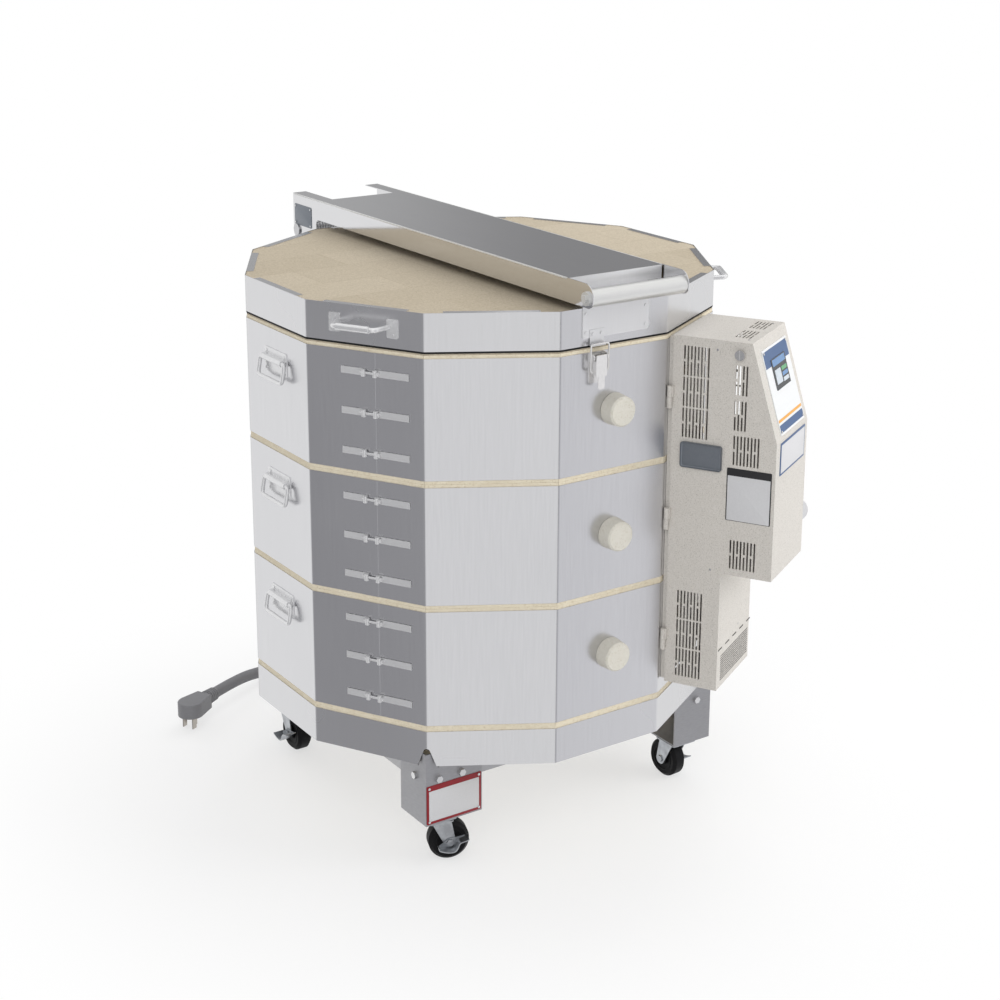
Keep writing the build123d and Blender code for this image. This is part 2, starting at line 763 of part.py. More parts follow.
crown_top = LEG_FOOT_Z - CASTER_PLATE_T - RACE_T - SWIVEL_GAP
cheek_in = HUB_W / 2 + CHEEK_GAP
cheek_out = cheek_in + CHEEK_T
brake_in = cheek_out + CHEEK_GAP
brake_out = brake_in + BRAKE_T
axle_end = brake_out + CHEEK_GAP
pedal_top = []
for number, (x, y) in enumerate(PEDAL_LINE):
    before, after = PEDAL_LINE[max(number - 1, 0)], PEDAL_LINE[min(number + 1, len(PEDAL_LINE) - 1)]
    run, climb = after[0] - before[0], after[1] - before[1]
    slant = math.hypot(run, climb)
    pedal_top.append((x - climb / slant * BRAKE_T, y + run / slant * BRAKE_T))
for seat, heading, corner_name in zip(caster_seats, CASTER_HEADINGS, CORNER_NAMES):
    ahead = outward(heading)
    base = Plane(origin=(seat.origin.X, seat.origin.Y, 0), x_dir=ahead)
    side = Plane(origin=base.origin, x_dir=ahead, z_dir=outward(heading - 90))
    with BuildPart() as caster_fork:
        with BuildSketch(base.offset(crown_top - CROWN_T)):
            with Locations((CASTER_TRAIL / 2 - 4, 0)):
                RectangleRounded(CROWN_LEN, 2 * cheek_out, 5)
        extrude(amount=CROWN_T)
        with BuildSketch(side.offset(-cheek_out), side.offset(cheek_in)):
            with Locations((CASTER_TRAIL, WHEEL_R)):
                Circle(CHEEK_R)
            with Locations((CASTER_TRAIL / 2 - 4, crown_top - CROWN_T / 2)):
                Rectangle(CROWN_LEN - 10, CROWN_T)
            make_hull()
        extrude(amount=CHEEK_T)
        with BuildSketch(side.offset(-cheek_out)):
            with Locations((CASTER_TRAIL, WHEEL_R)):
                Circle(AXLE_R)
        extrude(amount=cheek_out + axle_end)
        with BuildSketch(side.offset(axle_end), side.offset(-cheek_out - CHEEK_T)):
            with Locations((CASTER_TRAIL, WHEEL_R)):
                RegularPolygon(BOLT_HEAD_R, 6)
        extrude(amount=CHEEK_T)
    save(caster_fork.part, "caster_fork_" + corner_name)

    with BuildPart() as caster_wheel:
        axle_line = Plane(origin=base.origin + ahead * CASTER_TRAIL + Vector(0, 0, WHEEL_R), x_dir=(0, 0, 1),
                          z_dir=ahead)
        with BuildSketch(axle_line) as tread:
            bore = AXLE_R + AXLE_FIT
            Polygon(
                (bore, -HUB_W / 2), (HUB_R, -HUB_W / 2), (HUB_R, -WHEEL_W / 2 + 3), (WHEEL_R - WHEEL_EDGE, -WHEEL_W / 2),
                (WHEEL_R, -WHEEL_W / 2 + WHEEL_EDGE), (WHEEL_R, WHEEL_W / 2 - WHEEL_EDGE),
                (WHEEL_R - WHEEL_EDGE, WHEEL_W / 2), (HUB_R, WHEEL_W / 2 - 3), (HUB_R, HUB_W / 2), (bore, HUB_W / 2),
                align=None,
            )
        revolve(axis=Axis(axle_line.origin, axle_line.y_dir))
    save(caster_wheel.part, "caster_wheel_" + corner_name)

    with BuildPart() as caster_brake:
        hub_seat = Plane(origin=axle_line.origin, x_dir=ahead, z_dir=outward(heading - 90)).offset(brake_in)
        with BuildSketch(hub_seat):
            Circle(BRAKE_HUB_R)
            with Locations(*PEDAL_ROOTS):
                Circle(BRAKE_T)
            make_hull()
            Circle(AXLE_R + AXLE_FIT, mode=Mode.SUBTRACT)
        extrude(amount=BRAKE_T)
        with BuildSketch(hub_seat):
            with BuildLine():
                Spline(*PEDAL_LINE)
                Line(PEDAL_LINE[-1], pedal_top[-1])
                Spline(*reversed(pedal_top))
                Line(pedal_top[0], PEDAL_LINE[0])
            make_face()
        extrude(amount=PEDAL_W)
    save(caster_brake.part, "caster_brake_" + corner_name)

# Band clamps: two straps with rolled barrels, drawn together by a screw
with BuildPart() as band_clamps:
    strap_out = APOTHEM + STRAP_OFF
    barrel_out = strap_out + BARREL_R
    for ring in range(RING_COUNT):
        for place in (-1, 0, 1):
            z = ring_middle(ring) + place * CLAMP_PITCH
            for start, end, barrel in (
                (STRAP_LEFT_END, BARREL_LEFT, BARREL_LEFT),
                (BARREL_RIGHT, STRAP_RIGHT_END, BARREL_RIGHT),
            ):
                with BuildSketch(wall(CLAMPS, strap_out, z, (start + end) / 2)):
                    Rectangle(end - start, STRAP_H)
                extrude(amount=STRAP_T)
                seat = spot_on(CLAMPS, barrel_out, z - STRAP_H / 2, barrel)
                with BuildSketch(Plane(origin=seat)):
                    Circle(BARREL_R)
                extrude(amount=STRAP_H)
                with BuildSketch(across(CLAMPS, barrel_out, z, barrel)):
                    Circle(CLAMP_SCREW_R + CLAMP_SCREW_FIT)
                extrude(amount=BARREL_R + 1, both=True, mode=Mode.SUBTRACT)
    for ring in range(RING_COUNT):
        for place in (-1, 0, 1):
            z = ring_middle(ring) + place * CLAMP_PITCH
            with BuildSketch(across(CLAMPS, barrel_out, z, CLAMP_SCREW_END)):
                Circle(CLAMP_SCREW_R)
            extrude(amount=CLAMP_SCREW_END - CLAMP_SCREW_START)
            with BuildSketch(across(CLAMPS, barrel_out, z, BARREL_RIGHT + BARREL_R + CLAMP_HEAD_H)):
                RegularPolygon(CLAMP_HEAD_R, 6)
            extrude(amount=CLAMP_HEAD_H)
save(band_clamps.part, "band_clamps")

# Ring handle plates, riveted to the wraps, each with a rolled barrel
with BuildPart() as handle_plates:
    for angle in RING_HANDLE_SIDES:
        for ring in range(RING_COUNT):
            plate_z = ring_base(ring) + HANDLE_PLATE_LIFT + HANDLE_PLATE_H / 2
            axis_z = ring_base(ring) + HANDLE_AXIS_LIFT
            with BuildSketch(wall(angle, APOTHEM, plate_z)):
                RectangleRounded(HANDLE_PLATE_W, HANDLE_PLATE_H, 4)
            extrude(amount=HANDLE_PLATE_T)
            with BuildSketch(across(angle, APOTHEM, axis_z)):
                with Locations((HANDLE_AXIS_OUT, 0)):
                    Circle(HANDLE_BARREL_R)
                with Locations((HANDLE_AXIS_OUT / 2, 0)):
                    Rectangle(HANDLE_AXIS_OUT, 2 * HANDLE_BARREL_R)
            extrude(amount=HANDLE_BARREL_LEN / 2, both=True)
            with BuildSketch(across(angle, APOTHEM + HANDLE_AXIS_OUT, axis_z)):
                Circle(BAIL_R + BAIL_FIT)
            extrude(amount=HANDLE_BARREL_LEN, both=True, mode=Mode.SUBTRACT)
            with BuildSketch(wall(angle, APOTHEM + HANDLE_PLATE_T, plate_z)):
                with Locations((-34, 16), (34, 16), (-34, -16), (34, -16)):
                    Circle(RIVET_R)
            extrude(amount=RIVET_H)
save(handle_plates.part, "handle_plates")

# Swinging bails of the ring handles
for angle, side_name in zip(RING_HANDLE_SIDES, ("left", "right")):
    for ring, ring_name in enumerate(RING_NAMES):
        hinge = wall(angle, APOTHEM + HANDLE_AXIS_OUT, ring_base(ring) + HANDLE_AXIS_LIFT)
        leaning = outward(angle) * math.cos(math.radians(BAIL_TILT)) + Vector(0, 0, math.sin(math.radians(BAIL_TILT)))
        hang = Plane(origin=hinge.origin, x_dir=hinge.x_dir, z_dir=leaning)
        with BuildPart() as bail:
            with BuildLine(hang) as loop:
                FilletPolyline(
                    (0, 0), (BAIL_W / 2, 0), (BAIL_W / 2, -BAIL_DROP), (-BAIL_W / 2, -BAIL_DROP),
                    (-BAIL_W / 2, 0), (-BAIL_R, 0), radius=BAIL_CORNER_R,
                )
            with BuildSketch(Plane(origin=hang.origin, z_dir=hang.x_dir)):
                Circle(BAIL_R)
            sweep(path=loop.line)
        save(bail.part, "bail_" + side_name + "_" + ring_name)

# Lid slab, band with folded tabs
with BuildPart() as lid_slab:
    with BuildSketch(level(LID_LOW)) as slab_outline:
        RegularPolygon(BRICK_OUT, SIDES, major_radius=False, rotation=TURN / 2)
        fillet(slab_outline.vertices(), LID_CORNER_R)
    extrude(amount=LID_T)
save(lid_slab.part, "lid_slab")

with BuildPart() as lid_band:
    with BuildSketch(level(LID_LOW + LID_REVEAL)):
        add(sheet_outline(APOTHEM))
    extrude(amount=LID_T - LID_REVEAL + SHEET)
    with BuildSketch(*[wall(a, APOTHEM - TAB_DEPTH, LID_TOP + SHEET / 2) for a in SIDE_ANGLES]):
        Rectangle(TAB_LEN, SHEET)
    extrude(amount=TAB_DEPTH)
save(lid_band.part, "lid_band")

# Lid handles: a bent rod on two foot plates, with a loose sleeve as the grip
with BuildPart() as lid_handles:
    grip_z = LID_TOP + SHEET - FOOT_LIFT
    for angle in LID_HANDLE_SIDES:
        for t in (-FOOT_T_MID, FOOT_T_MID):
            with BuildSketch(wall(angle, APOTHEM, grip_z, t)):
                RectangleRounded(FOOT_W, FOOT_H, 3)
            extrude(amount=FOOT_T)
            with BuildSketch(wall(angle, APOTHEM + FOOT_T, grip_z, t)):
                with Locations((0, FOOT_H / 2 - 6), (0, 6 - FOOT_H / 2)):
                    Circle(RIVET_R)
            extrude(amount=RIVET_H)
        rod_z = grip_z - GRIP_DROP
        with BuildLine() as rod:
            FilletPolyline(
                spot_on(angle, APOTHEM + FOOT_T / 2, rod_z, -GRIP_ROOT), spot_on(angle, APOTHEM + GRIP_OUT, rod_z, -GRIP_HALF),
                spot_on(angle, APOTHEM + GRIP_OUT, rod_z, GRIP_HALF), spot_on(angle, APOTHEM + FOOT_T / 2, rod_z, GRIP_ROOT),
                radius=GRIP_BEND_R,
            )
        with BuildSketch(Plane(origin=rod.line @ 0, z_dir=rod.line % 0)):
            Circle(GRIP_ROD_R)
        sweep(path=rod.line)
    for angle in LID_HANDLE_SIDES:
        with BuildSketch(across(angle, APOTHEM + GRIP_OUT, grip_z - GRIP_DROP)):
            Circle(SLEEVE_R)
            Circle(GRIP_ROD_R + SLEEVE_FIT, mode=Mode.SUBTRACT)
        extrude(amount=SLEEVE_LEN / 2, both=True)
save(lid_handles.part, "lid_handles")

# Hinge channel: deck, two side plates that end in arms behind, front flange and spring bar
nose_y = TUBE_Y - NOSE_PAST_TUBE
arm_low = PIVOT_Z - HINGE_EYE_R + 3
with BuildPart() as hinge_channel:
    for x in (-CHANNEL_X, CHANNEL_X - CHANNEL_T):
        with BuildSketch(slice_at(x)) as arm:
            Polygon(
                (nose_y, SKIRT_Z), (ARM_START, SKIRT_Z), (ARM_START, arm_low), (CHANNEL_TAIL, arm_low),
                (CHANNEL_TAIL, DECK_Z), (nose_y, DECK_Z), align=None,
            )
            rear = arm.vertices().filter_by_position(Axis.X, ARM_START - 1, CHANNEL_TAIL + 1)
            fillet(rear.filter_by_position(Axis.Y, arm_low - 1, SKIRT_Z + 1), ARM_CORNER_R)
            fillet(arm.vertices().group_by(Axis.X)[0].sort_by(Axis.Y)[-1], NOSE_R_TOP)
            fillet(arm.vertices().group_by(Axis.X)[0].sort_by(Axis.Y)[0], NOSE_R_LOW)
            with Locations((PIVOT_Y, PIVOT_Z)):
                Circle(ROD_R + ROD_FIT, mode=Mode.SUBTRACT)
            with Locations((TUBE_Y, TUBE_Z)):
                Circle(CAP_SHANK_R + BOLT_FIT, mode=Mode.SUBTRACT)
        extrude(amount=CHANNEL_T)
    with BuildSketch(level(DECK_Z - CHANNEL_T)):
        with Locations((0, (CHANNEL_FRONT + CHANNEL_TAIL) / 2)):
            Rectangle(CHANNEL_W, CHANNEL_TAIL - CHANNEL_FRONT)
        with Locations((0, (CHANNEL_DECK_REAR + CHANNEL_TAIL) / 2)):
            Rectangle(CHANNEL_W - 2 * ARM_FLANGE, CHANNEL_TAIL - CHANNEL_DECK_REAR, mode=Mode.SUBTRACT)
    extrude(amount=CHANNEL_T)
    with BuildSketch(wall(FRONT, -CHANNEL_FRONT - CHANNEL_T, (SKIRT_Z + DECK_Z) / 2, -SLIT_W / 2)):
        Rectangle(CHANNEL_W - SLIT_W - CHANNEL_T, DECK_Z - SKIRT_Z)
    extrude(amount=CHANNEL_T)
    with BuildSketch(slice_at(-CHANNEL_X + CHANNEL_T)):
        with Locations((SPRING_BAR_Y, LID_TOP + SPRING_BAR_RISE)):
            Circle(SPRING_BAR_R)
    extrude(amount=CHANNEL_W - 2 * CHANNEL_T)
save(hinge_channel.part, "hinge_channel")

# Front cross tube, held by a capped bolt through each side plate
with BuildPart() as hinge_tube:
    inner_x = CHANNEL_X - CHANNEL_T - TUBE_FIT
    with BuildSketch(slice_at(-inner_x)):
        with Locations((TUBE_Y, TUBE_Z)):
            Circle(TUBE_R)
            Circle(TUBE_R - TUBE_WALL, mode=Mode.SUBTRACT)
    extrude(amount=2 * inner_x)
    for side in (-1, 1):
        outer_face = slice_at(side * CHANNEL_X)
        inner_face = slice_at(side * inner_x)
        with BuildSketch(inner_face):
            with Locations((TUBE_Y, TUBE_Z)):
                Circle(TUBE_R - TUBE_WALL / 2)
        extrude(amount=-side * CAP_T)
        with BuildSketch(inner_face):
            with Locations((TUBE_Y, TUBE_Z)):
                Circle(CAP_SHANK_R)
        extrude(amount=side * (CHANNEL_X - inner_x))
        with BuildSketch(outer_face):
            with Locations((TUBE_Y, TUBE_Z)):
                Circle(CAP_R)
        extrude(amount=side * CAP_T)
        with BuildSketch(outer_face.offset(side * CAP_T)):
            with Locations((TUBE_Y, TUBE_Z)):
                RegularPolygon(CAP_BOLT_R, 6)
        extrude(amount=side * CAP_BOLT_H)
save(hinge_tube.part, "hinge_tube")

# Front bracket: a plate on the lid band, with a web that backs the tube and the latch's catch
with BuildPart() as front_bracket:
    plate_top = TUBE_Z + BRACKET_T / 2
    plate_low = LID_TOP - BRACKET_DROP
    with BuildSketch(wall(FRONT, APOTHEM, (plate_top + plate_low) / 2)):
        RectangleRounded(BRACKET_W, plate_top - plate_low, 4)
    extrude(amount=BRACKET_T)
    with BuildSketch(wall(FRONT, BRACKET_FACE, (LID_TOP + plate_low) / 2)):
        with GridLocations(BRACKET_W - 14, LID_TOP - plate_low - 20, 2, 2):
            Circle(RIVET_R)
    extrude(amount=RIVET_H)
    web_reach = -APOTHEM - TUBE_Y - TUBE_R - BRACKET_FIT
    with BuildSketch(level(plate_top - BRACKET_T, 0, -APOTHEM - web_reach / 2)):
        Rectangle(BRACKET_W - 16, web_reach)
    extrude(amount=BRACKET_T)
    with BuildSketch(slice_at(LATCH_X - CATCH_W / 2)):
        low = STAND_H + CATCH_LOW
        Polygon(
            (-BRACKET_FACE, STAND_H + CATCH_TOP), (-BRACKET_FACE, low),
            (-catch_face - CATCH_LIP_OUT, low), (-catch_face - CATCH_LIP_OUT, low + CATCH_LIP_H),
            (-catch_face - CATCH_LIP_OUT + CATCH_T, low + CATCH_LIP_H), (-catch_face - CATCH_LIP_OUT + CATCH_T, low + CATCH_T),
            (-catch_face, low + CATCH_T), (-catch_face, STAND_H + CATCH_TOP), align=None,
        )
    extrude(amount=CATCH_W)
    with BuildSketch(wall(FRONT, catch_face, STAND_H + CATCH_TOP - 8, LATCH_X)):
        with Locations((-9, 0), (9, 0)):
            Circle(RIVET_R)
    extrude(amount=RIVET_H)
save(front_bracket.part, "front_bracket")

# Rear hinge stand: a back plate bolted to the body, two cheeks and the rod with its end caps
plate_top_z = LID_TOP - HINGE_PLATE_TOP
with BuildPart() as hinge_stand:
    with BuildSketch(wall(REAR, APOTHEM, plate_top_z - HINGE_PLATE_H / 2)):
        RectangleRounded(2 * CHEEK_X, HINGE_PLATE_H, 4)
    extrude(amount=HINGE_PLATE_T)
    with BuildSketch(wall(REAR, APOTHEM + HINGE_PLATE_T, plate_top_z - HINGE_PLATE_H / 2)):
        with GridLocations(140, 70, 2, 3):
            RegularPolygon(BOLT_HEAD_R, 6)
    extrude(amount=BOLT_HEAD_H)
    for x in (-CHEEK_X, CHEEK_X - HINGE_CHEEK_T):
        with BuildSketch(slice_at(x)):
            with Locations((PIVOT_Y, PIVOT_Z)):
                Circle(HINGE_EYE_R)
            with Locations((APOTHEM + HINGE_PLATE_T / 2, plate_top_z - HINGE_PLATE_H / 2)):
                Rectangle(HINGE_PLATE_T, HINGE_PLATE_H - 10)
            make_hull()
        extrude(amount=HINGE_CHEEK_T)
    rod_end = CHANNEL_X + ROD_CAP_GAP + ROD_CAP_T
    with BuildSketch(slice_at(-rod_end)):
        with Locations((PIVOT_Y, PIVOT_Z)):
            Circle(ROD_R)
    extrude(amount=2 * rod_end)
    with BuildSketch(slice_at(-rod_end), slice_at(rod_end - ROD_CAP_T)):
        with Locations((PIVOT_Y, PIVOT_Z)):
            Circle(ROD_CAP_R)
    extrude(amount=ROD_CAP_T)
save(hinge_stand.part, "hinge_stand")

# Counterbalance springs on the rod: each coil's outer shape
with BuildPart() as hinge_springs:
    for x in (-SPRING_OUT, SPRING_IN):
        with BuildSketch(slice_at(x)):
            with Locations((PIVOT_Y, PIVOT_Z)):
                Circle(SPRING_R)
                Circle(SPRING_BORE_R, mode=Mode.SUBTRACT)
        extrude(amount=SPRING_OUT - SPRING_IN)
save(hinge_springs.part, "hinge_springs")

# Spring arms: the springs' free ends, which lift the channel's bar and turn with the lid
with BuildPart() as spring_arms:
    bar = Vector(0, SPRING_BAR_Y - PIVOT_Y, LID_TOP + SPRING_BAR_RISE - PIVOT_Z)
    dip = math.degrees(math.asin((SPRING_BAR_R + SPRING_WIRE_R) / bar.length))
    heading = bar.normalized().rotate(Axis.X, dip)
    for x in (12 - SPRING_OUT, SPRING_OUT - 12):
        start = Vector(x, AXIS_Y + PIVOT_Y, PIVOT_Z) + heading * (SPRING_R + 0.4)
        with BuildSketch(Plane(origin=start, z_dir=heading)):
            Circle(SPRING_WIRE_R)
        extrude(amount=bar.length - SPRING_R + 6)
save(spring_arms.part, "spring_arms")

# Draw latch: base on the top ring, lever and wire loop
latch_pivot_out = APOTHEM + LATCH_PIVOT_OUT
latch_bail_out = APOTHEM + LATCH_BAIL_OUT
with BuildPart() as latch_base:
    base_mid = STAND_H + (LATCH_BASE_TOP + LATCH_BASE_LOW) / 2
    with BuildSketch(wall(FRONT, APOTHEM, base_mid, LATCH_X)):
        RectangleRounded(LATCH_BASE_W, LATCH_BASE_TOP - LATCH_BASE_LOW, 3)
    extrude(amount=LATCH_T)
    for x in (LATCH_X - LATCH_BASE_W / 2, LATCH_X + LATCH_BASE_W / 2 - LATCH_T):
        with BuildSketch(slice_at(x)):
            with Locations((-latch_pivot_out, STAND_H + LATCH_PIVOT_Z)):
                Circle(LATCH_EAR_R)
            with Locations((-APOTHEM - LATCH_T / 2, STAND_H + LATCH_PIVOT_Z)):
                Rectangle(LATCH_T, 2 * LATCH_EAR_R + 2)
            make_hull()
        extrude(amount=LATCH_T)
    with BuildSketch(slice_at(LATCH_X - LATCH_BASE_W / 2)):
        with Locations((-latch_pivot_out, STAND_H + LATCH_PIVOT_Z)):
            Circle(LATCH_PIN_R)
    extrude(amount=LATCH_BASE_W)
save(latch_base.part, "latch_base")

with BuildPart() as latch_lever:
    lever_face = APOTHEM + LEVER_OUT
    with BuildSketch(wall(FRONT, lever_face, STAND_H + (LEVER_TOP + LEVER_LOW) / 2, LATCH_X)):
        RectangleRounded(LEVER_W, LEVER_TOP - LEVER_LOW, 2)
    extrude(amount=LATCH_T)
    tip_mid = STAND_H + (LEVER_LOW + LEVER_TIP) / 2 + 2
    with BuildSketch(wall(FRONT, lever_face, tip_mid, LATCH_X)):
        RectangleRounded(LEVER_TIP_W, LEVER_LOW - LEVER_TIP + 4, 5)
    extrude(amount=LATCH_T)
    for x in (LATCH_X - LEVER_W / 2, LATCH_X + LEVER_W / 2 - LATCH_T):
        with BuildSketch(slice_at(x)):
            with Locations((-latch_pivot_out, STAND_H + LATCH_PIVOT_Z)):
                Circle(LATCH_EAR_R - 2)
            with Locations((-latch_bail_out, STAND_H + LATCH_BAIL_Z)):
                Circle(LATCH_EAR_R - 2)
            with Locations((-lever_face - LATCH_T / 2, STAND_H + (LEVER_TOP + LEVER_LOW) / 2)):
                Rectangle(LATCH_T, LEVER_TOP - LEVER_LOW - 4)
            make_hull()
            with Locations((-latch_pivot_out, STAND_H + LATCH_PIVOT_Z)):
                Circle(LATCH_PIN_R + LATCH_PIN_FIT, mode=Mode.SUBTRACT)
            with Locations((-latch_bail_out, STAND_H + LATCH_BAIL_Z)):
                Circle(LOOP_R + LATCH_PIN_FIT, mode=Mode.SUBTRACT)
        extrude(amount=LATCH_T)
save(latch_lever.part, "latch_lever")

loop_top_out = catch_face + CATCH_LIP_OUT + LOOP_CLEAR + LOOP_R
with BuildPart() as latch_bail:
    low_z = STAND_H + LATCH_BAIL_Z
    top_z = STAND_H + LOOP_TOP
    left_t = LATCH_X - LOOP_W / 2
    right_t = LATCH_X + LOOP_W / 2
    start = spot_on(FRONT, latch_bail_out, low_z, LATCH_X)
    with BuildLine() as loop:
        FilletPolyline(
            start, spot_on(FRONT, latch_bail_out, low_z, right_t), spot_on(FRONT, loop_top_out, top_z, right_t),
            spot_on(FRONT, loop_top_out, top_z, left_t), spot_on(FRONT, latch_bail_out, low_z, left_t),
            start - Vector(LOOP_R, 0, 0), radius=LOOP_BEND_R,
        )
    with BuildSketch(Plane(origin=start, z_dir=(1, 0, 0))):
        Circle(LOOP_R)
    sweep(path=loop.line)
save(latch_bail.part, "latch_bail")

# Back pan with its hinge knuckles and the wiring box that the cord enters
pan_back = APOTHEM + PAN_OFF
pan_left = CASE_LEFT + PAN_INSET
pan_right = CASE_RIGHT - PAN_INSET
pan_low = STAND_H + CASE_LOW + PAN_INSET
pan_high = STAND_H + CASE_TOP - PAN_INSET
with BuildPart() as back_pan:
    pan_mid = wall(CONTROL, pan_back, (pan_low + pan_high) / 2, (pan_left + pan_right) / 2)
    with BuildSketch(pan_mid):
        Rectangle(pan_right - pan_left, pan_high - pan_low)
    extrude(amount=PAN_DEPTH)
    with BuildSketch(pan_mid.offset(PAN_T)):
        Rectangle(pan_right - pan_left - 2 * PAN_T, pan_high - pan_low - 2 * PAN_T)
    extrude(amount=PAN_DEPTH, mode=Mode.SUBTRACT)
    box_low = STAND_H + WIRING_BOX_LOW
    box_high = STAND_H + WIRING_BOX_TOP
    foot_mid = wall(CONTROL, pan_back, (box_low + box_high) / 2, (pan_right - PAN_T + WIRING_BOX_RIGHT) / 2)
    with BuildSketch(foot_mid):
        Rectangle(WIRING_BOX_RIGHT - pan_right + PAN_T, box_high - box_low)
    extrude(amount=PAN_T)
    box_mid = wall(CONTROL, pan_back, (box_low + box_high) / 2, (WIRING_BOX_LEFT + WIRING_BOX_RIGHT) / 2)
    with BuildSketch(box_mid):
        Rectangle(WIRING_BOX_RIGHT - WIRING_BOX_LEFT, box_high - box_low)
    extrude(amount=WIRING_BOX_OUT - pan_back)
    with BuildSketch(box_mid.offset(PAN_T)):
        Rectangle(WIRING_BOX_RIGHT - WIRING_BOX_LEFT - 2 * PAN_T, box_high - box_low - 2 * PAN_T)
    extrude(amount=WIRING_BOX_OUT - pan_back - 2 * PAN_T, mode=Mode.SUBTRACT)
    for knuckle in KNUCKLE_Z:
        base = spot_on(CONTROL, KNUCKLE_OUT, STAND_H + knuckle - KNUCKLE_LEN, KNUCKLE_T)
        with BuildSketch(Plane(origin=base)):
            Circle(KNUCKLE_R)
        extrude(amount=KNUCKLE_LEN)
        with BuildSketch(Plane(origin=base)):
            Circle(KNUCKLE_PIN_R)
        extrude(amount=2 * KNUCKLE_LEN)
        web = wall(CONTROL, pan_back, STAND_H + knuckle - KNUCKLE_LEN / 2, (KNUCKLE_T + pan_left + PAN_T) / 2)
        with BuildSketch(web):
            Rectangle(pan_left + PAN_T - KNUCKLE_T, KNUCKLE_LEN)
        extrude(amount=PAN_T)
    for ring in range(RING_COUNT):
        with BuildSketch(*[wall(CONTROL, pan_back, row_height(ring, row)) for row in range(ROWS)]):
            with Locations((-PIN_T, 0), (PIN_T, 0)):
                Circle(PIN_HOLE_R)
        extrude(amount=PAN_T, mode=Mode.SUBTRACT)
        with BuildSketch(wall(CONTROL, pan_back, ring_middle(ring) + ROW_PITCH / 2, COUPLE_T)):
            Circle(COUPLE_HOLE_R)
        extrude(amount=PAN_T, mode=Mode.SUBTRACT)
    with BuildSketch(across(CONTROL, GLAND_OUT, STAND_H + GLAND_Z, WIRING_BOX_RIGHT)):
        Circle(GLAND_TIP_R)
    extrude(amount=PAN_T, mode=Mode.SUBTRACT)
save(back_pan.part, "back_pan")

# Control case: a folded shell, open towards the pan, with vent slots on both sides and on top


def case_outline(inset=0):
    """Side view of the case: distance out against height."""
    corners = (
        (CASE_BACK, CASE_LOW), (CASE_LOWER_OUT, CASE_LOW), (CASE_LOWER_OUT, CASE_STEP),
        (CASE_UPPER_OUT, CASE_STEP), (CASE_UPPER_OUT, CASE_SLANT_LOW), (CASE_TOP_OUT, CASE_TOP),
        (CASE_BACK, CASE_TOP),
    )
    Polygon(*[(out, STAND_H + z) for out, z in corners], align=None)
    if inset:
        offset(amount=-inset, kind=Kind.INTERSECTION, mode=Mode.REPLACE)
        with Locations((CASE_BACK, STAND_H + (CASE_LOW + CASE_TOP) / 2)):
            Rectangle(4 * inset, CASE_TOP - CASE_LOW - 2 * inset)


def slot_field(columns, units):
    """Vent slots up from the current location: a pair of short slots and one long slot in turn."""
    half = (SLOT_LONG - SLOT_SHORT) / 2
    for column in range(columns):
        x = column * SLOT_COLUMN
        middles = [unit * SLOT_UNIT for unit in range(units)]
        if column % 2:
            with Locations(*[(x, y) for y in middles]):
                Rectangle(SLOT_W, SLOT_LONG)
        else:
            with Locations(*[(x, y + side * half) for y in middles for side in (-1, 1)]):
                Rectangle(SLOT_W, SLOT_SHORT)


with BuildPart() as control_case:
    case_side = across(CONTROL, 0, 0, CASE_RIGHT)
    with BuildSketch(case_side):
        case_outline()
    extrude(amount=CASE_W)
    with BuildSketch(case_side.offset(CASE_T)):
        case_outline(CASE_T)
    extrude(amount=CASE_W - 2 * CASE_T, mode=Mode.SUBTRACT)
    for out, z, columns, rows in VENTS:
        with BuildSketch(across(CONTROL, out, STAND_H + z, CASE_RIGHT)):
            slot_field(columns, rows)
        extrude(amount=CASE_W, mode=Mode.SUBTRACT)
    top_seats = [
        Plane(origin=spot_on(CONTROL, TOP_VENT_OUT, STAND_H + CASE_TOP - CASE_T, t), x_dir=outward(CONTROL))
        for t in TOP_VENT_T
    ]
    with BuildSketch(*top_seats):
        slot_field(TOP_VENT_COLUMNS, 1)
    extrude(amount=CASE_T, mode=Mode.SUBTRACT)
    for knuckle in KNUCKLE_Z:
        low = STAND_H + knuckle + KNUCKLE_GAP
        with BuildSketch(Plane(origin=spot_on(CONTROL, KNUCKLE_OUT, low, KNUCKLE_T))):
            Circle(KNUCKLE_R)
        extrude(amount=KNUCKLE_LEN)
        web_t = (KNUCKLE_T + CASE_LEFT + CASE_T) / 2
        with BuildSketch(wall(CONTROL, KNUCKLE_OUT + 1, low + KNUCKLE_LEN / 2, web_t)):
            Rectangle(CASE_LEFT + CASE_T - KNUCKLE_T, KNUCKLE_LEN)
        extrude(amount=CASE_BACK - KNUCKLE_OUT + 3)
        with BuildSketch(Plane(origin=spot_on(CONTROL, KNUCKLE_OUT, low, KNUCKLE_T))):
            Circle(KNUCKLE_PIN_R + KNUCKLE_PIN_FIT)
        extrude(amount=KNUCKLE_LEN, mode=Mode.SUBTRACT)
    with BuildSketch(across(CONTROL, KNOB_OUT, STAND_H + KNOB_Z, CASE_RIGHT)):
        Circle(KNOB_SHAFT_R + KNOB_SHAFT_FIT)
    extrude(amount=CASE_T, mode=Mode.SUBTRACT)
    with BuildSketch(across(CONTROL, LOCK_OUT, STAND_H + LOCK_Z, CASE_LEFT + CASE_T)):
        Circle(LOCK_SHAFT_R + KNOB_SHAFT_FIT)
    extrude(amount=CASE_T, mode=Mode.SUBTRACT)
save(control_case.part, "control_case")

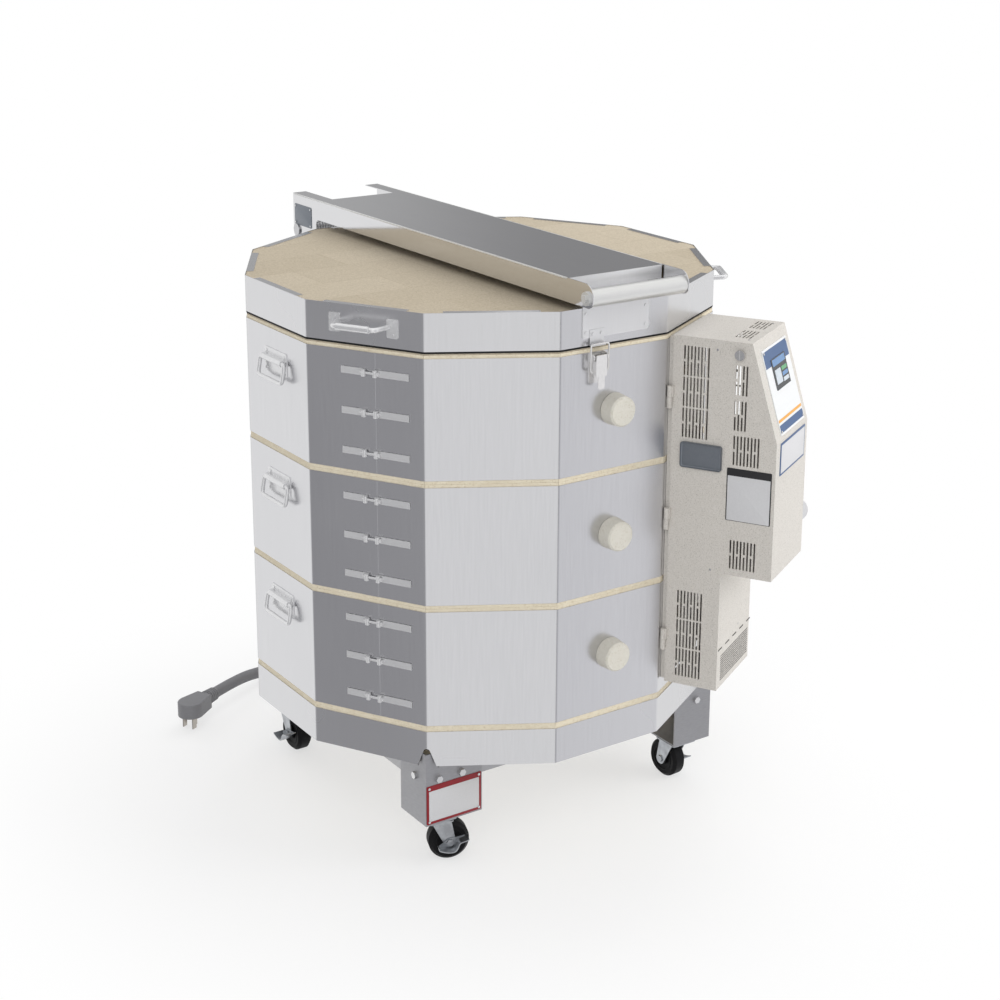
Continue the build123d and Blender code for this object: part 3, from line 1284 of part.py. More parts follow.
# Sloping panel overlay and the touch screen on it
slope_run = CASE_UPPER_OUT - CASE_TOP_OUT
slope_drop = CASE_TOP - CASE_SLANT_LOW
slope_len = math.hypot(slope_run, slope_drop)
slope_normal = outward(CONTROL) * (slope_drop / slope_len) + Vector(0, 0, slope_run / slope_len)


def slope_plane(down, t, lift=0):
    """Plane on the sloping face, a distance down from its top edge."""
    out = CASE_TOP_OUT + slope_run * down / slope_len
    z = STAND_H + CASE_TOP - slope_drop * down / slope_len
    origin = spot_on(CONTROL, out, z, t) + slope_normal * lift
    return Plane(origin=origin, x_dir=outward(CONTROL + 90), z_dir=slope_normal)


with BuildPart() as control_panel:
    with BuildSketch(slope_plane(PANEL_MID_DOWN, PANEL_T_MID)):
        RectangleRounded(PANEL_W, PANEL_H, 1.5)
    extrude(amount=PANEL_T)
save(control_panel.part, "control_panel")

with BuildPart() as touch_screen:
    with BuildSketch(slope_plane(SCREEN_MID_DOWN, SCREEN_T_MID, PANEL_T)):
        RectangleRounded(SCREEN_W, SCREEN_H, 2)
    extrude(amount=SCREEN_T)
save(touch_screen.part, "touch_screen")

# Relays and transformer, fixed inside the case's front walls
with BuildPart() as control_electrics:
    for step in (-1, 0, 1):
        relay_t = (CASE_LEFT + CASE_RIGHT) / 2 + step * RELAY_PITCH
        with BuildSketch(wall(CONTROL, CASE_LOWER_OUT - CASE_T - RELAY_D, STAND_H + RELAY_Z, relay_t)):
            RectangleRounded(RELAY_W, RELAY_H, 3)
        extrude(amount=RELAY_D)
    transformer_t = (CASE_LEFT + CASE_RIGHT) / 2
    with BuildSketch(wall(CONTROL, CASE_UPPER_OUT - CASE_T - TRANSFORMER_D, STAND_H + TRANSFORMER_Z, transformer_t)):
        RectangleRounded(TRANSFORMER_W, TRANSFORMER_H, 3)
    extrude(amount=TRANSFORMER_D)
save(control_electrics.part, "control_electrics")

# Rotary power knob on the right wall
with BuildPart() as power_knob:
    knob_seat = across(CONTROL, KNOB_OUT, STAND_H + KNOB_Z, CASE_RIGHT + KNOB_GAP)
    with BuildSketch(knob_seat):
        Circle(KNOB_R)
    extrude(amount=-KNOB_LEN)
    chamfer(power_knob.faces().sort_by(Axis(knob_seat.origin, knob_seat.z_dir))[0].edges(), 2)
    with BuildSketch(knob_seat.offset(-KNOB_LEN)):
        Rectangle(KNOB_BAR_W, 2 * KNOB_R - 8)
    extrude(amount=-KNOB_BAR_H)
    with BuildSketch(knob_seat):
        Circle(KNOB_SHAFT_R)
    extrude(amount=KNOB_GAP + CASE_T + 8)
save(power_knob.part, "power_knob")

# Quarter-turn lock on the left wall, with its cam inside
with BuildPart() as case_lock:
    lock_seat = across(CONTROL, LOCK_OUT, STAND_H + LOCK_Z, CASE_LEFT - KNOB_GAP)
    with BuildSketch(lock_seat):
        Circle(LOCK_R)
    extrude(amount=LOCK_LEN)
    with BuildSketch(lock_seat.offset(LOCK_LEN - 2)):
        Rectangle(2, 2 * LOCK_R)
    extrude(amount=2, mode=Mode.SUBTRACT)
    with BuildSketch(lock_seat):
        Circle(LOCK_SHAFT_R)
    extrude(amount=-KNOB_GAP - CASE_T - LOCK_CAM_IN)
    with BuildSketch(lock_seat.offset(-KNOB_GAP - CASE_T - LOCK_CAM_IN)):
        with Locations((0, LOCK_CAM_W / 2 - LOCK_CAM_LEN / 2)):
            RectangleRounded(LOCK_CAM_W, LOCK_CAM_LEN, 3)
    extrude(amount=-LOCK_CAM_T)
save(case_lock.part, "case_lock")

# Gland on the wiring box: collar outside, nut inside, tapered relief
with BuildPart() as cord_gland:
    gland_seat = across(CONTROL, GLAND_OUT, STAND_H + GLAND_Z, WIRING_BOX_RIGHT)
    with BuildSketch(gland_seat.offset(-GLAND_COLLAR_T)):
        Circle(GLAND_R)
    extrude(amount=GLAND_COLLAR_T)
    with BuildSketch(gland_seat):
        Circle(GLAND_TIP_R - BOLT_FIT)
    extrude(amount=PAN_T)
    with BuildSketch(gland_seat.offset(PAN_T)):
        RegularPolygon(GLAND_R, 6)
    extrude(amount=GLAND_COLLAR_T)
    with BuildSketch(gland_seat.offset(-GLAND_COLLAR_T)):
        Circle(GLAND_TIP_R + 2)
    with BuildSketch(gland_seat.offset(-GLAND_COLLAR_T - GLAND_TIP_LEN)):
        Circle(CORD_R + 1)
    loft()
save(cord_gland.part, "cord_gland")

# Cord: from the gland round the right side, down to the floor and along behind to the plug
plug_way = outward(PLUG_HEADING)
plug_base = Plane(origin=(PLUG_X, AXIS_Y + PLUG_Y, PLUG_LIFT), x_dir=plug_way)
neck_start = Vector(PLUG_X, AXIS_Y + PLUG_Y, PLUG_LIFT + PLUG_THICK / 2) + plug_way * PLUG_BODY_LEN
cord_end = neck_start + plug_way * PLUG_NECK_LEN
cord_start = gland_seat.offset(-GLAND_COLLAR_T - GLAND_TIP_LEN).origin
route = [cord_start, cord_start + outward(CONTROL + 90) * CORD_LEAD]
route += [Vector(x, AXIS_Y + y, z) for x, y, z in CORD_ROUTE]
route += [cord_end + plug_way * CORD_TAIL, cord_end]
runs = [b - a for a, b in zip(route, route[1:])]
turns = [a.get_angle(b) for a, b in zip(runs, runs[1:])]
radii = [
    0.45 * min(a.length, b.length) / math.tan(math.radians(turn / 2))
    for a, b, turn in zip(runs, runs[1:], turns)
]
with BuildPart() as power_cord:
    with BuildLine() as cord_path:
        FilletPolyline(*route, radius=radii)
    with BuildSketch(Plane(origin=cord_start, z_dir=runs[0])):
        Circle(CORD_R)
    sweep(path=cord_path.line)
save(power_cord.part, "power_cord")
cord_length = sum(edge.length for edge in cord_path.edges())
print("cord length", round(cord_length), "volume ratio",
      round(power_cord.part.volume / (math.pi * CORD_R ** 2 * cord_length), 4))
print("cord radii", [round(r) for r in radii], "turns", [round(t) for t in turns])

# Right-angle plug, standing on its blades
with BuildPart() as power_plug:
    with BuildSketch(plug_base):
        Circle(PLUG_NOSE_R)
        with Locations((PLUG_BODY_LEN - 5, 0)):
            Rectangle(10, PLUG_TAIL_W)
        make_hull()
    extrude(amount=PLUG_THICK)
    fillet(power_plug.faces().sort_by(Axis.Z)[-1].edges(), 3)
    with BuildSketch(Plane(origin=neck_start, z_dir=plug_way)):
        Circle(PLUG_NECK_R)
    with BuildSketch(Plane(origin=cord_end, z_dir=plug_way)):
        Circle(CORD_R + 1)
    loft()
save(power_plug.part, "power_plug")

with BuildPart() as plug_blades:
    with BuildSketch(plug_base):
        with Locations((BLADE_FORWARD, -BLADE_SPREAD), (BLADE_FORWARD, BLADE_SPREAD)):
            Rectangle(BLADE_W, BLADE_T)
    extrude(amount=-PLUG_LIFT)
    with BuildSketch(plug_base):
        with Locations((BLADE_FORWARD + GROUND_BACK, 0)):
            Circle(GROUND_R)
    extrude(amount=-PLUG_LIFT)
save(plug_blades.part, "plug_blades")
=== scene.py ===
import bpy
import json
import math
from mathutils import Matrix, Vector


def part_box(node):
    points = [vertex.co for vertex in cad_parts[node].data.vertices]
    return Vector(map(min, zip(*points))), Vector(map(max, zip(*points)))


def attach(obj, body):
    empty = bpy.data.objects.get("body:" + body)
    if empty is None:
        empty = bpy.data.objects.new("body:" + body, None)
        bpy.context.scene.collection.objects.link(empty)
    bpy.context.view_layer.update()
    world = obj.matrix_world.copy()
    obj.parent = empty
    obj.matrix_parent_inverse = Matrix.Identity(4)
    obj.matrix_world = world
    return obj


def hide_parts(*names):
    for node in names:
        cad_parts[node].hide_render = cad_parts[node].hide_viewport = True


# Electric kiln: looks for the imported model. Lengths in the helpers are millimetres, in the model's own frame.

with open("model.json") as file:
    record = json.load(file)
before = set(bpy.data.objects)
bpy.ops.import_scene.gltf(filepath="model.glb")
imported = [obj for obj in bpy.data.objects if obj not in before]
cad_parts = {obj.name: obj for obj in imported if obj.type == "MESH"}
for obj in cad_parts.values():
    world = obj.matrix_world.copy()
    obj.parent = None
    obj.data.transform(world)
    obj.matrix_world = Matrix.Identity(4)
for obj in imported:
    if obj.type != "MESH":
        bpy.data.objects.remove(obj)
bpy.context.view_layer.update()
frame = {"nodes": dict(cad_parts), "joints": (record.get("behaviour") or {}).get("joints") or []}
nodes = frame["nodes"]
scene = bpy.context.scene
bpy.ops.object.select_all(action="DESELECT")

MM = 0.001
AXIS_Y = 20
STAND_H = 204
FLOOR_TOP = 277
RING_H = 229.4
APOTHEM = 432
LID_TOP = 1037.2
PIVOT = (0, 535, 1019.6)
CONTROL = -60
CASE_LEFT = -108
CASE_RIGHT = 68
CASE_TOP = 762
HALF_SIDE = 15
CORD_RADIUS = 12
RINGS = ("lower", "middle", "upper")
CORNERS = ("front_left", "front_right", "rear_right", "rear_left")


def outward(angle):
    """Level direction away from the kiln's axis, at an angle in degrees."""
    return Vector((math.cos(math.radians(angle)), math.sin(math.radians(angle)), 0))


def spot_on(angle, out, z, t=0):
    """Point this far out from the axis at an angle, and t to the side of it."""
    spot = outward(angle) * out + outward(angle + 90) * t
    return Vector((spot.x, AXIS_Y + spot.y, z))


def seat(origin, x_dir, z_dir):
    """Placement matrix in metres from an origin in millimetres and two directions."""
    z = Vector(z_dir).normalized()
    x = Vector(x_dir).normalized()
    y = z.cross(x)
    turn = Matrix((x, y, z)).transposed().to_4x4()
    return Matrix.Translation(Vector(origin) * MM) @ turn


def wall(angle, out, z, t=0):
    """On a side: x runs along it, y is up and z points outwards."""
    return seat(spot_on(angle, out, z, t), outward(angle + 90), outward(angle))


def across(angle, out, z, t=0):
    """Square to a side: x points outwards, y is up and z runs back along the side."""
    return seat(spot_on(angle, out, z, t), outward(angle), outward(angle - 90))


# Camera, at the photograph's viewing angle
camera_data = bpy.data.cameras.new("camera")
camera = bpy.data.objects.new("camera", camera_data)
scene.collection.objects.link(camera)
scene.camera = camera
AZ = math.radians(-33.84)
EL = math.radians(15.62)
ROLL = math.radians(0.18)
EYE_RIGHT = 42.505
EYE_UP = 596.585
EYE_BACK = 3620.84
back = Vector((math.sin(AZ) * math.cos(EL), -math.cos(AZ) * math.cos(EL), math.sin(EL)))
right = Vector((math.cos(AZ), math.sin(AZ), 0))
up = back.cross(right)
right_rolled = right * math.cos(ROLL) + up * math.sin(ROLL)
up_rolled = up * math.cos(ROLL) - right * math.sin(ROLL)
eye = right * EYE_RIGHT + Vector((0, 0, EYE_UP)) + back * EYE_BACK + Vector((0, AXIS_Y, STAND_H))
camera_turn = Matrix((right_rolled, up_rolled, back)).transposed().to_4x4()
camera.matrix_world = Matrix.Translation(eye * MM) @ camera_turn
camera_data.sensor_width = 36
camera_data.lens = 67.524
camera_data.shift_y = -0.12
camera_data.clip_end = 100

# Power cord: the same route as the solid's, as control points
GLAND_OUT = 459
GLAND_Z = 355
WIRING_BOX_RIGHT = 110
cord_start = spot_on(CONTROL, GLAND_OUT, GLAND_Z, WIRING_BOX_RIGHT + 51)
PLUG = Vector((-428, AXIS_Y + 453, 27))
plug_way = outward(27)
cord_end = PLUG + Vector((0, 0, 15.5)) + plug_way * 82
ROUTE = (
    (493, -205, 328),
    (524, -118, 285),
    (537, -22, 225),
    (534, 74, 155),
    (517, 165, 88),
    (484, 250, 34),
    (434, 332, 12),
    (368, 409, 12),
    (288, 475, 12),
    (196, 528, 12),
    (96, 566, 12),
    (-10, 588, 12),
    (-112, 590, 12.5),
    (-202, 569, 25),
)
route = [cord_start, cord_start + outward(30) * 82]
route += [Vector((x, AXIS_Y + y, z)) for x, y, z in ROUTE]
route += [cord_end + plug_way * 84, cord_end]
cord_curve = bpy.data.curves.new("cord_run", "CURVE")
cord_curve.dimensions = "3D"
spline = cord_curve.splines.new("NURBS")
spline.points.add(len(route) - 1)
for point, place in zip(spline.points, route):
    point.co = (place.x * MM, place.y * MM, place.z * MM, 1)
    point.radius = CORD_RADIUS * MM  # a curve's box is padded by its points' radius, so the bevel is 1 m
spline.order_u = 3
spline.use_endpoint_u = True
spline.resolution_u = 10
cord_curve.bevel_depth = 1
cord_curve.bevel_resolution = 5
cord_curve.use_fill_caps = True
cord_run = bpy.data.objects.new("cord_run", cord_curve)
scene.collection.objects.link(cord_run)
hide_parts("power_cord")
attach(cord_run, "kiln_body")


# Shared shader effects

def new_group(name, sockets_in, sockets_out):
    group = bpy.data.node_groups.new(name, "ShaderNodeTree")
    for label, kind, value in sockets_in:
        socket = group.interface.new_socket(name=label, in_out="INPUT", socket_type=kind)
        if value is not None:
            socket.default_value = value
    for label, kind in sockets_out:
        group.interface.new_socket(name=label, in_out="OUTPUT", socket_type=kind)
    return group, group.nodes.new("NodeGroupInput"), group.nodes.new("NodeGroupOutput")


def make_grain_group():
    """Two-tone noise with its own roughness and bump, for every finish."""
    group, start, end = new_group("grain", (
        ("Colour A", "NodeSocketColor", (0.5, 0.5, 0.5, 1)),
        ("Colour B", "NodeSocketColor", (0.4, 0.4, 0.4, 1)),
        ("Scale", "NodeSocketFloat", 100.0),
        ("Stretch", "NodeSocketVector", (1.0, 1.0, 1.0)),
        ("Contrast", "NodeSocketFloat", 0.2),
        ("Rough low", "NodeSocketFloat", 0.3),
        ("Rough high", "NodeSocketFloat", 0.5),
        ("Bump", "NodeSocketFloat", 0.1),
        ("Depth", "NodeSocketFloat", 0.0002),
    ), (("Colour", "NodeSocketColor"), ("Roughness", "NodeSocketFloat"), ("Normal", "NodeSocketVector")))
    links = group.links
    place = group.nodes.new("ShaderNodeTexCoord")
    mapping = group.nodes.new("ShaderNodeMapping")
    fine = group.nodes.new("ShaderNodeTexNoise")
    fine.inputs["Detail"].default_value = 4
    broad = group.nodes.new("ShaderNodeTexNoise")
    broad.inputs["Scale"].default_value = 3.5
    broad.inputs["Detail"].default_value = 2
    low = group.nodes.new("ShaderNodeMath")
    low.operation = "SUBTRACT"
    low.inputs[0].default_value = 0.5
    high = group.nodes.new("ShaderNodeMath")
    high.operation = "ADD"
    high.inputs[0].default_value = 0.5
    spread = group.nodes.new("ShaderNodeMapRange")
    mix = group.nodes.new("ShaderNodeMix")
    mix.data_type = "RGBA"
    rough = group.nodes.new("ShaderNodeMapRange")
    bump = group.nodes.new("ShaderNodeBump")
    links.new(place.outputs["Object"], mapping.inputs["Vector"])
    links.new(start.outputs["Stretch"], mapping.inputs["Scale"])
    links.new(mapping.outputs["Vector"], fine.inputs["Vector"])
    links.new(place.outputs["Object"], broad.inputs["Vector"])
    links.new(start.outputs["Scale"], fine.inputs["Scale"])
    links.new(start.outputs["Contrast"], low.inputs[1])
    links.new(start.outputs["Contrast"], high.inputs[1])
    links.new(fine.outputs[0], spread.inputs["Value"])
    links.new(low.outputs[0], spread.inputs["From Min"])
    links.new(high.outputs[0], spread.inputs["From Max"])
    links.new(spread.outputs[0], mix.inputs["Factor"])
    links.new(start.outputs["Colour A"], mix.inputs["A"])
    links.new(start.outputs["Colour B"], mix.inputs["B"])
    links.new(mix.outputs["Result"], end.inputs["Colour"])
    links.new(broad.outputs[0], rough.inputs["Value"])
    rough.inputs["From Min"].default_value = 0.3
    rough.inputs["From Max"].default_value = 0.7
    links.new(start.outputs["Rough low"], rough.inputs["To Min"])
    links.new(start.outputs["Rough high"], rough.inputs["To Max"])
    links.new(rough.outputs[0], end.inputs["Roughness"])
    links.new(start.outputs["Bump"], bump.inputs["Strength"])
    links.new(start.outputs["Depth"], bump.inputs["Distance"])
    links.new(fine.outputs[0], bump.inputs["Height"])
    links.new(bump.outputs["Normal"], end.inputs["Normal"])
    return group


grain = make_grain_group()


def finish_of(
    name, colour, second=None, metallic=0.0, rough=(0.4, 0.5), scale=150.0, stretch=(1, 1, 1), contrast=0.2,
    bump=0.1, depth=0.0002, ior=1.5,
):
    """A finish made from the grain group, with its two colours, roughness range and relief."""
    material = bpy.data.materials.new(name)
    material.use_nodes = True
    tree = material.node_tree
    shader = tree.nodes["Principled BSDF"]
    look = tree.nodes.new("ShaderNodeGroup")
    look.node_tree = grain
    second = second or tuple(c * 0.88 for c in colour)
    look.inputs["Colour A"].default_value = (*colour, 1)
    look.inputs["Colour B"].default_value = (*second, 1)
    look.inputs["Scale"].default_value = scale
    look.inputs["Stretch"].default_value = stretch
    look.inputs["Contrast"].default_value = contrast
    look.inputs["Rough low"].default_value = rough[0]
    look.inputs["Rough high"].default_value = rough[1]
    look.inputs["Bump"].default_value = bump
    look.inputs["Depth"].default_value = depth
    tree.links.new(look.outputs["Colour"], shader.inputs["Base Color"])
    tree.links.new(look.outputs["Roughness"], shader.inputs["Roughness"])
    tree.links.new(look.outputs["Normal"], shader.inputs["Normal"])
    shader.inputs["Metallic"].default_value = metallic
    shader.inputs["IOR"].default_value = ior
    return material


def speckle(material, dark, scale, amount):
    """Adds scattered specks over a finish's colour."""
    tree = material.node_tree
    shader = tree.nodes["Principled BSDF"]
    before = shader.inputs["Base Color"].links[0].from_socket
    place = tree.nodes.new("ShaderNodeTexCoord")
    specks = tree.nodes.new("ShaderNodeTexNoise")
    specks.inputs["Scale"].default_value = scale
    specks.inputs["Detail"].default_value = 1
    cut = tree.nodes.new("ShaderNodeMapRange")
    cut.inputs["From Min"].default_value = 0.60
    cut.inputs["From Max"].default_value = 0.70
    cut.inputs["To Max"].default_value = amount
    mix = tree.nodes.new("ShaderNodeMix")
    mix.data_type = "RGBA"
    mix.inputs["B"].default_value = (*dark, 1)
    tree.links.new(place.outputs["Object"], specks.inputs["Vector"])
    tree.links.new(specks.outputs[0], cut.inputs["Value"])
    tree.links.new(cut.outputs[0], mix.inputs["Factor"])
    tree.links.new(before, mix.inputs["A"])
    tree.links.new(mix.outputs["Result"], shader.inputs["Base Color"])
    return material


# Finishes
STAINLESS = (0.72, 0.72, 0.735)
wrap_steel = finish_of(
    "wrap_steel", STAINLESS, (0.67, 0.67, 0.685), 1.0, (0.20, 0.27), 60, (6, 6, 0.25), 0.4, 0.03, 0.0001,
)
band_steel = finish_of(
    "band_steel", STAINLESS, (0.68, 0.68, 0.69), 1.0, (0.22, 0.29), 60, (6, 6, 0.25), 0.4, 0.03, 0.0001,
)
deck_steel = finish_of(
    "deck_steel", (0.74, 0.74, 0.75), (0.70, 0.70, 0.71), 1.0, (0.07, 0.11), 40, (1, 0.1, 1), 0.4, 0.02,
    0.0001,
)
tube_steel = finish_of(
    "tube_steel", (0.75, 0.75, 0.735), (0.70, 0.70, 0.69), 0.7, (0.26, 0.36), 300, (1, 8, 8), 0.3, 0.06,
    0.0001,
)
hinge_steel = finish_of("hinge_steel", (0.62, 0.62, 0.63), None, 1.0, (0.25, 0.4), 260, (1, 1, 1), 0.3, 0.08)
latch_nickel = finish_of(
    "latch_nickel", (0.88, 0.87, 0.86), None, 0.75, (0.14, 0.22), 240, (1, 1, 1), 0.3, 0.04,
)
strap_steel = finish_of(
    "strap_steel", (0.78, 0.78, 0.79), None, 0.55, (0.30, 0.40), 300, (1, 1, 8), 0.3, 0.05,
)
handle_steel = finish_of(
    "handle_steel", (0.84, 0.84, 0.85), None, 0.6, (0.16, 0.26), 260, (1, 1, 1), 0.3, 0.04,
)
bracket_steel = finish_of(
    "bracket_steel", (0.78, 0.78, 0.79), (0.74, 0.74, 0.75), 0.6, (0.3, 0.4), 60, (6, 6, 0.25), 0.4, 0.03,
)
leg_steel = finish_of(
    "leg_steel", (0.43, 0.43, 0.445), (0.36, 0.36, 0.375), 0.9, (0.44, 0.54), 90, (1, 1, 5), 0.3, 0.06,
)
rail_steel = finish_of("rail_steel", (0.50, 0.50, 0.51), None, 1.0, (0.4, 0.5), 120, (1, 1, 1), 0.3, 0.08)
zinc = finish_of(
    "zinc", (0.50, 0.52, 0.54), (0.36, 0.37, 0.39), 0.95, (0.24, 0.36), 70, (1, 1, 1), 0.15, 0.06,
)
zinc_bolt = finish_of("zinc_bolt", (0.78, 0.78, 0.78), None, 1.0, (0.2, 0.3), 300, (1, 1, 1), 0.3, 0.05)
wheel_black = finish_of(
    "wheel_black", (0.007, 0.007, 0.008), (0.010, 0.010, 0.011), 0.0, (0.42, 0.54), 120, (1, 1, 1), 0.3,
    0.06, ior=1.22,
)
spring_steel = finish_of("spring_steel", (0.74, 0.74, 0.75), None, 0.6, (0.3, 0.4), 200, (1, 1, 1), 0.3, 0.05)
element_wire = finish_of(
    "element_wire", (0.16, 0.15, 0.145), (0.22, 0.20, 0.18), 0.7, (0.45, 0.6), 300, (1, 1, 1), 0.3, 0.1,
)
holder_ceramic = finish_of(
    "holder_ceramic", (0.72, 0.66, 0.54), (0.66, 0.60, 0.48), 0.0, (0.55, 0.7), 200, (1, 1, 1), 0.3, 0.1,
)
terminal_ceramic = finish_of(
    "terminal_ceramic", (0.78, 0.76, 0.70), None, 0.0, (0.35, 0.5), 200, (1, 1, 1), 0.3, 0.05,
)
couple_ceramic = finish_of(
    "couple_ceramic", (0.62, 0.54, 0.44), None, 0.0, (0.45, 0.6), 200, (1, 1, 1), 0.3, 0.06,
)
cord_rubber = finish_of(
    "cord_rubber", (0.20, 0.20, 0.212), (0.18, 0.18, 0.192), 0.0, (0.52, 0.64), 400, (1, 1, 1), 0.3, 0.12,
    0.0003,
)
plug_rubber = finish_of(
    "plug_rubber", (0.225, 0.225, 0.24), (0.205, 0.205, 0.215), 0.0, (0.45, 0.55), 300, (1, 1, 1), 0.3,
    0.08,
)
blade_brass = finish_of("blade_brass", (0.45, 0.42, 0.38), None, 1.0, (0.25, 0.35), 300, (1, 1, 1), 0.3, 0.05)
gland_black = finish_of("gland_black", (0.02, 0.02, 0.02), None, 0.0, (0.45, 0.55), 300, (1, 1, 1), 0.3, 0.1)
knob_grey = finish_of("knob_grey", (0.56, 0.56, 0.575), None, 0.0, (0.3, 0.42), 300, (1, 1, 1), 0.3, 0.08)
electrics_black = finish_of(
    "electrics_black", (0.02, 0.02, 0.022), None, 0.0, (0.5, 0.6), 200, (1, 1, 1), 0.3, 0.1,
)
screen_glass = finish_of(
    "screen_glass", (0.012, 0.016, 0.022), None, 0.0, (0.06, 0.10), 80, (1, 1, 1), 0.3, 0.0,
)
panel_white = finish_of(
    "panel_white", (0.80, 0.81, 0.82), (0.76, 0.77, 0.78), 0.0, (0.35, 0.45), 300, (1, 1, 1), 0.3, 0.04,
)
plate_grey = finish_of(
    "plate_grey", (0.23, 0.25, 0.28), (0.21, 0.23, 0.26), 0.6, (0.35, 0.45), 200, (1, 1, 1), 0.3, 0.04,
)
plate_white = finish_of(
    "plate_white", (0.64, 0.64, 0.655), (0.60, 0.60, 0.615), 0.0, (0.35, 0.45), 300, (1, 1, 1), 0.3, 0.04,
)
plate_black = finish_of(
    "plate_black", (0.02, 0.02, 0.022), None, 0.0, (0.35, 0.45), 300, (1, 1, 1), 0.3, 0.04,
)
plate_red = finish_of("plate_red", (0.27, 0.006, 0.013), None, 0.0, (0.35, 0.45), 300, (1, 1, 1), 0.3, 0.04)
plate_blue = finish_of("plate_blue", (0.05, 0.11, 0.25), None, 0.0, (0.35, 0.45), 300, (1, 1, 1), 0.3, 0.04)
plate_orange = finish_of(
    "plate_orange", (0.82, 0.40, 0.07), None, 0.0, (0.35, 0.45), 300, (1, 1, 1), 0.3, 0.04,
)
# Painted shade: near-black fill for openings and gaps that lie in shade, not a colour of the steel
painted_shade_black = finish_of("painted_shade_black", (0.006, 0.006, 0.006), None, 0.0, (0.7, 0.8), 200, (1, 1, 1), 0.3, 0.0)
screen_blue = finish_of("screen_blue", (0.12, 0.26, 0.50), None, 0.0, (0.1, 0.16), 100, (1, 1, 1), 0.3, 0.0)
screen_green = finish_of("screen_green", (0.10, 0.38, 0.16), None, 0.0, (0.1, 0.16), 100, (1, 1, 1), 0.3, 0.0)
screen_pale = finish_of("screen_pale", (0.62, 0.68, 0.74), None, 0.0, (0.1, 0.16), 100, (1, 1, 1), 0.3, 0.0)

brick_cream = speckle(
    finish_of(
        "brick_cream", (0.80, 0.73, 0.58), (0.72, 0.64, 0.49), 0.0, (0.8, 0.92), 90, (1, 1, 1), 0.25, 0.35,
        0.0006,
    ),
    (0.52, 0.42, 0.28), 420, 0.6,
)
case_paint = speckle(
    finish_of(
        "case_paint", (0.66, 0.63, 0.59), (0.59, 0.56, 0.515), 0.0, (0.42, 0.52), 420, (1, 1, 1), 0.12,
        0.22, 0.0003,
    ),
    (0.40, 0.375, 0.34), 520, 0.75,
)
plug_ceramic = speckle(
    finish_of(
        "plug_ceramic", (0.70, 0.675, 0.61), (0.65, 0.625, 0.55), 0.0, (0.5, 0.62), 160, (1, 1, 1), 0.25,
        0.15, 0.0003,
    ),
    (0.52, 0.47, 0.38), 300, 0.45,
)


def make_lid_brick():
    """Coated firebrick of the lid: sandy grain over faint glued joints."""
    material = speckle(
        finish_of(
            "lid_brick", (0.57, 0.50, 0.39), (0.48, 0.415, 0.315), 0.0, (0.8, 0.92), 260, (1, 1, 1), 0.18,
            0.4, 0.0006,
        ),
        (0.33, 0.27, 0.19), 520, 0.5,
    )
    tree = material.node_tree
    shader = tree.nodes["Principled BSDF"]
    before = shader.inputs["Base Color"].links[0].from_socket
    place = tree.nodes.new("ShaderNodeTexCoord")
    joints = tree.nodes.new("ShaderNodeTexBrick")
    joints.inputs["Scale"].default_value = 1
    joints.inputs["Mortar Size"].default_value = 0.0009
    joints.inputs["Mortar Smooth"].default_value = 0.6
    joints.inputs["Brick Width"].default_value = 0.2286
    joints.inputs["Row Height"].default_value = 0.1143
    joints.inputs["Color1"].default_value = (1, 1, 1, 1)
    joints.inputs["Color2"].default_value = (0.90, 0.89, 0.87, 1)
    joints.inputs["Mortar"].default_value = (0.80, 0.77, 0.72, 1)
    tint = tree.nodes.new("ShaderNodeMix")
    tint.data_type = "RGBA"
    tint.blend_type = "MULTIPLY"
    tint.inputs["Factor"].default_value = 1
    tree.links.new(place.outputs["Object"], joints.inputs["Vector"])
    tree.links.new(before, tint.inputs["A"])
    tree.links.new(joints.outputs["Color"], tint.inputs["B"])
    tree.links.new(tint.outputs["Result"], shader.inputs["Base Color"])
    return material


lid_brick = make_lid_brick()


def dress(material, *names):
    """Gives one finish to every slot of these CAD nodes."""
    for name in names:
        node = nodes[name]
        for slot in node.material_slots:
            slot.link = "OBJECT"
            slot.material = material


dress(brick_cream, "floor_slab", *["ring_bricks_" + r for r in RINGS])
dress(lid_brick, "lid_slab")
dress(wrap_steel, "ring_wraps")
dress(band_steel, "floor_band", "lid_band")
dress(deck_steel, "hinge_channel")
dress(tube_steel, "hinge_tube")
dress(bracket_steel, "front_bracket")
dress(hinge_steel, "hinge_stand")
dress(spring_steel, "spring_arms")
dress(latch_nickel, "latch_base", "latch_lever", "latch_bail")
dress(strap_steel, "band_clamps")
dress(handle_steel, "handle_plates", "lid_handles")
dress(handle_steel, *["bail_%s_%s" % (side, ring) for side in ("left", "right") for ring in RINGS])
dress(leg_steel, "stand_legs")
dress(rail_steel, "stand_rails")
dress(zinc_bolt, "stand_bolts", "case_lock")
dress(zinc, "caster_plates", *["caster_fork_" + c for c in CORNERS], *["caster_brake_" + c for c in CORNERS])
dress(wheel_black, *["caster_wheel_" + c for c in CORNERS])
dress(holder_ceramic, "element_holders")
dress(terminal_ceramic, "terminal_blocks")
dress(couple_ceramic, "thermocouples")
dress(plug_ceramic, *["peephole_plug_" + r for r in RINGS])
dress(case_paint, "control_case", "back_pan")
dress(panel_white, "control_panel")
dress(screen_glass, "touch_screen")
dress(electrics_black, "control_electrics")
dress(knob_grey, "power_knob")
dress(gland_black, "cord_gland")
dress(plug_rubber, "power_plug")
dress(blade_brass, "plug_blades")
cord_run.data.materials.append(cord_rubber)


# Modelling helpers

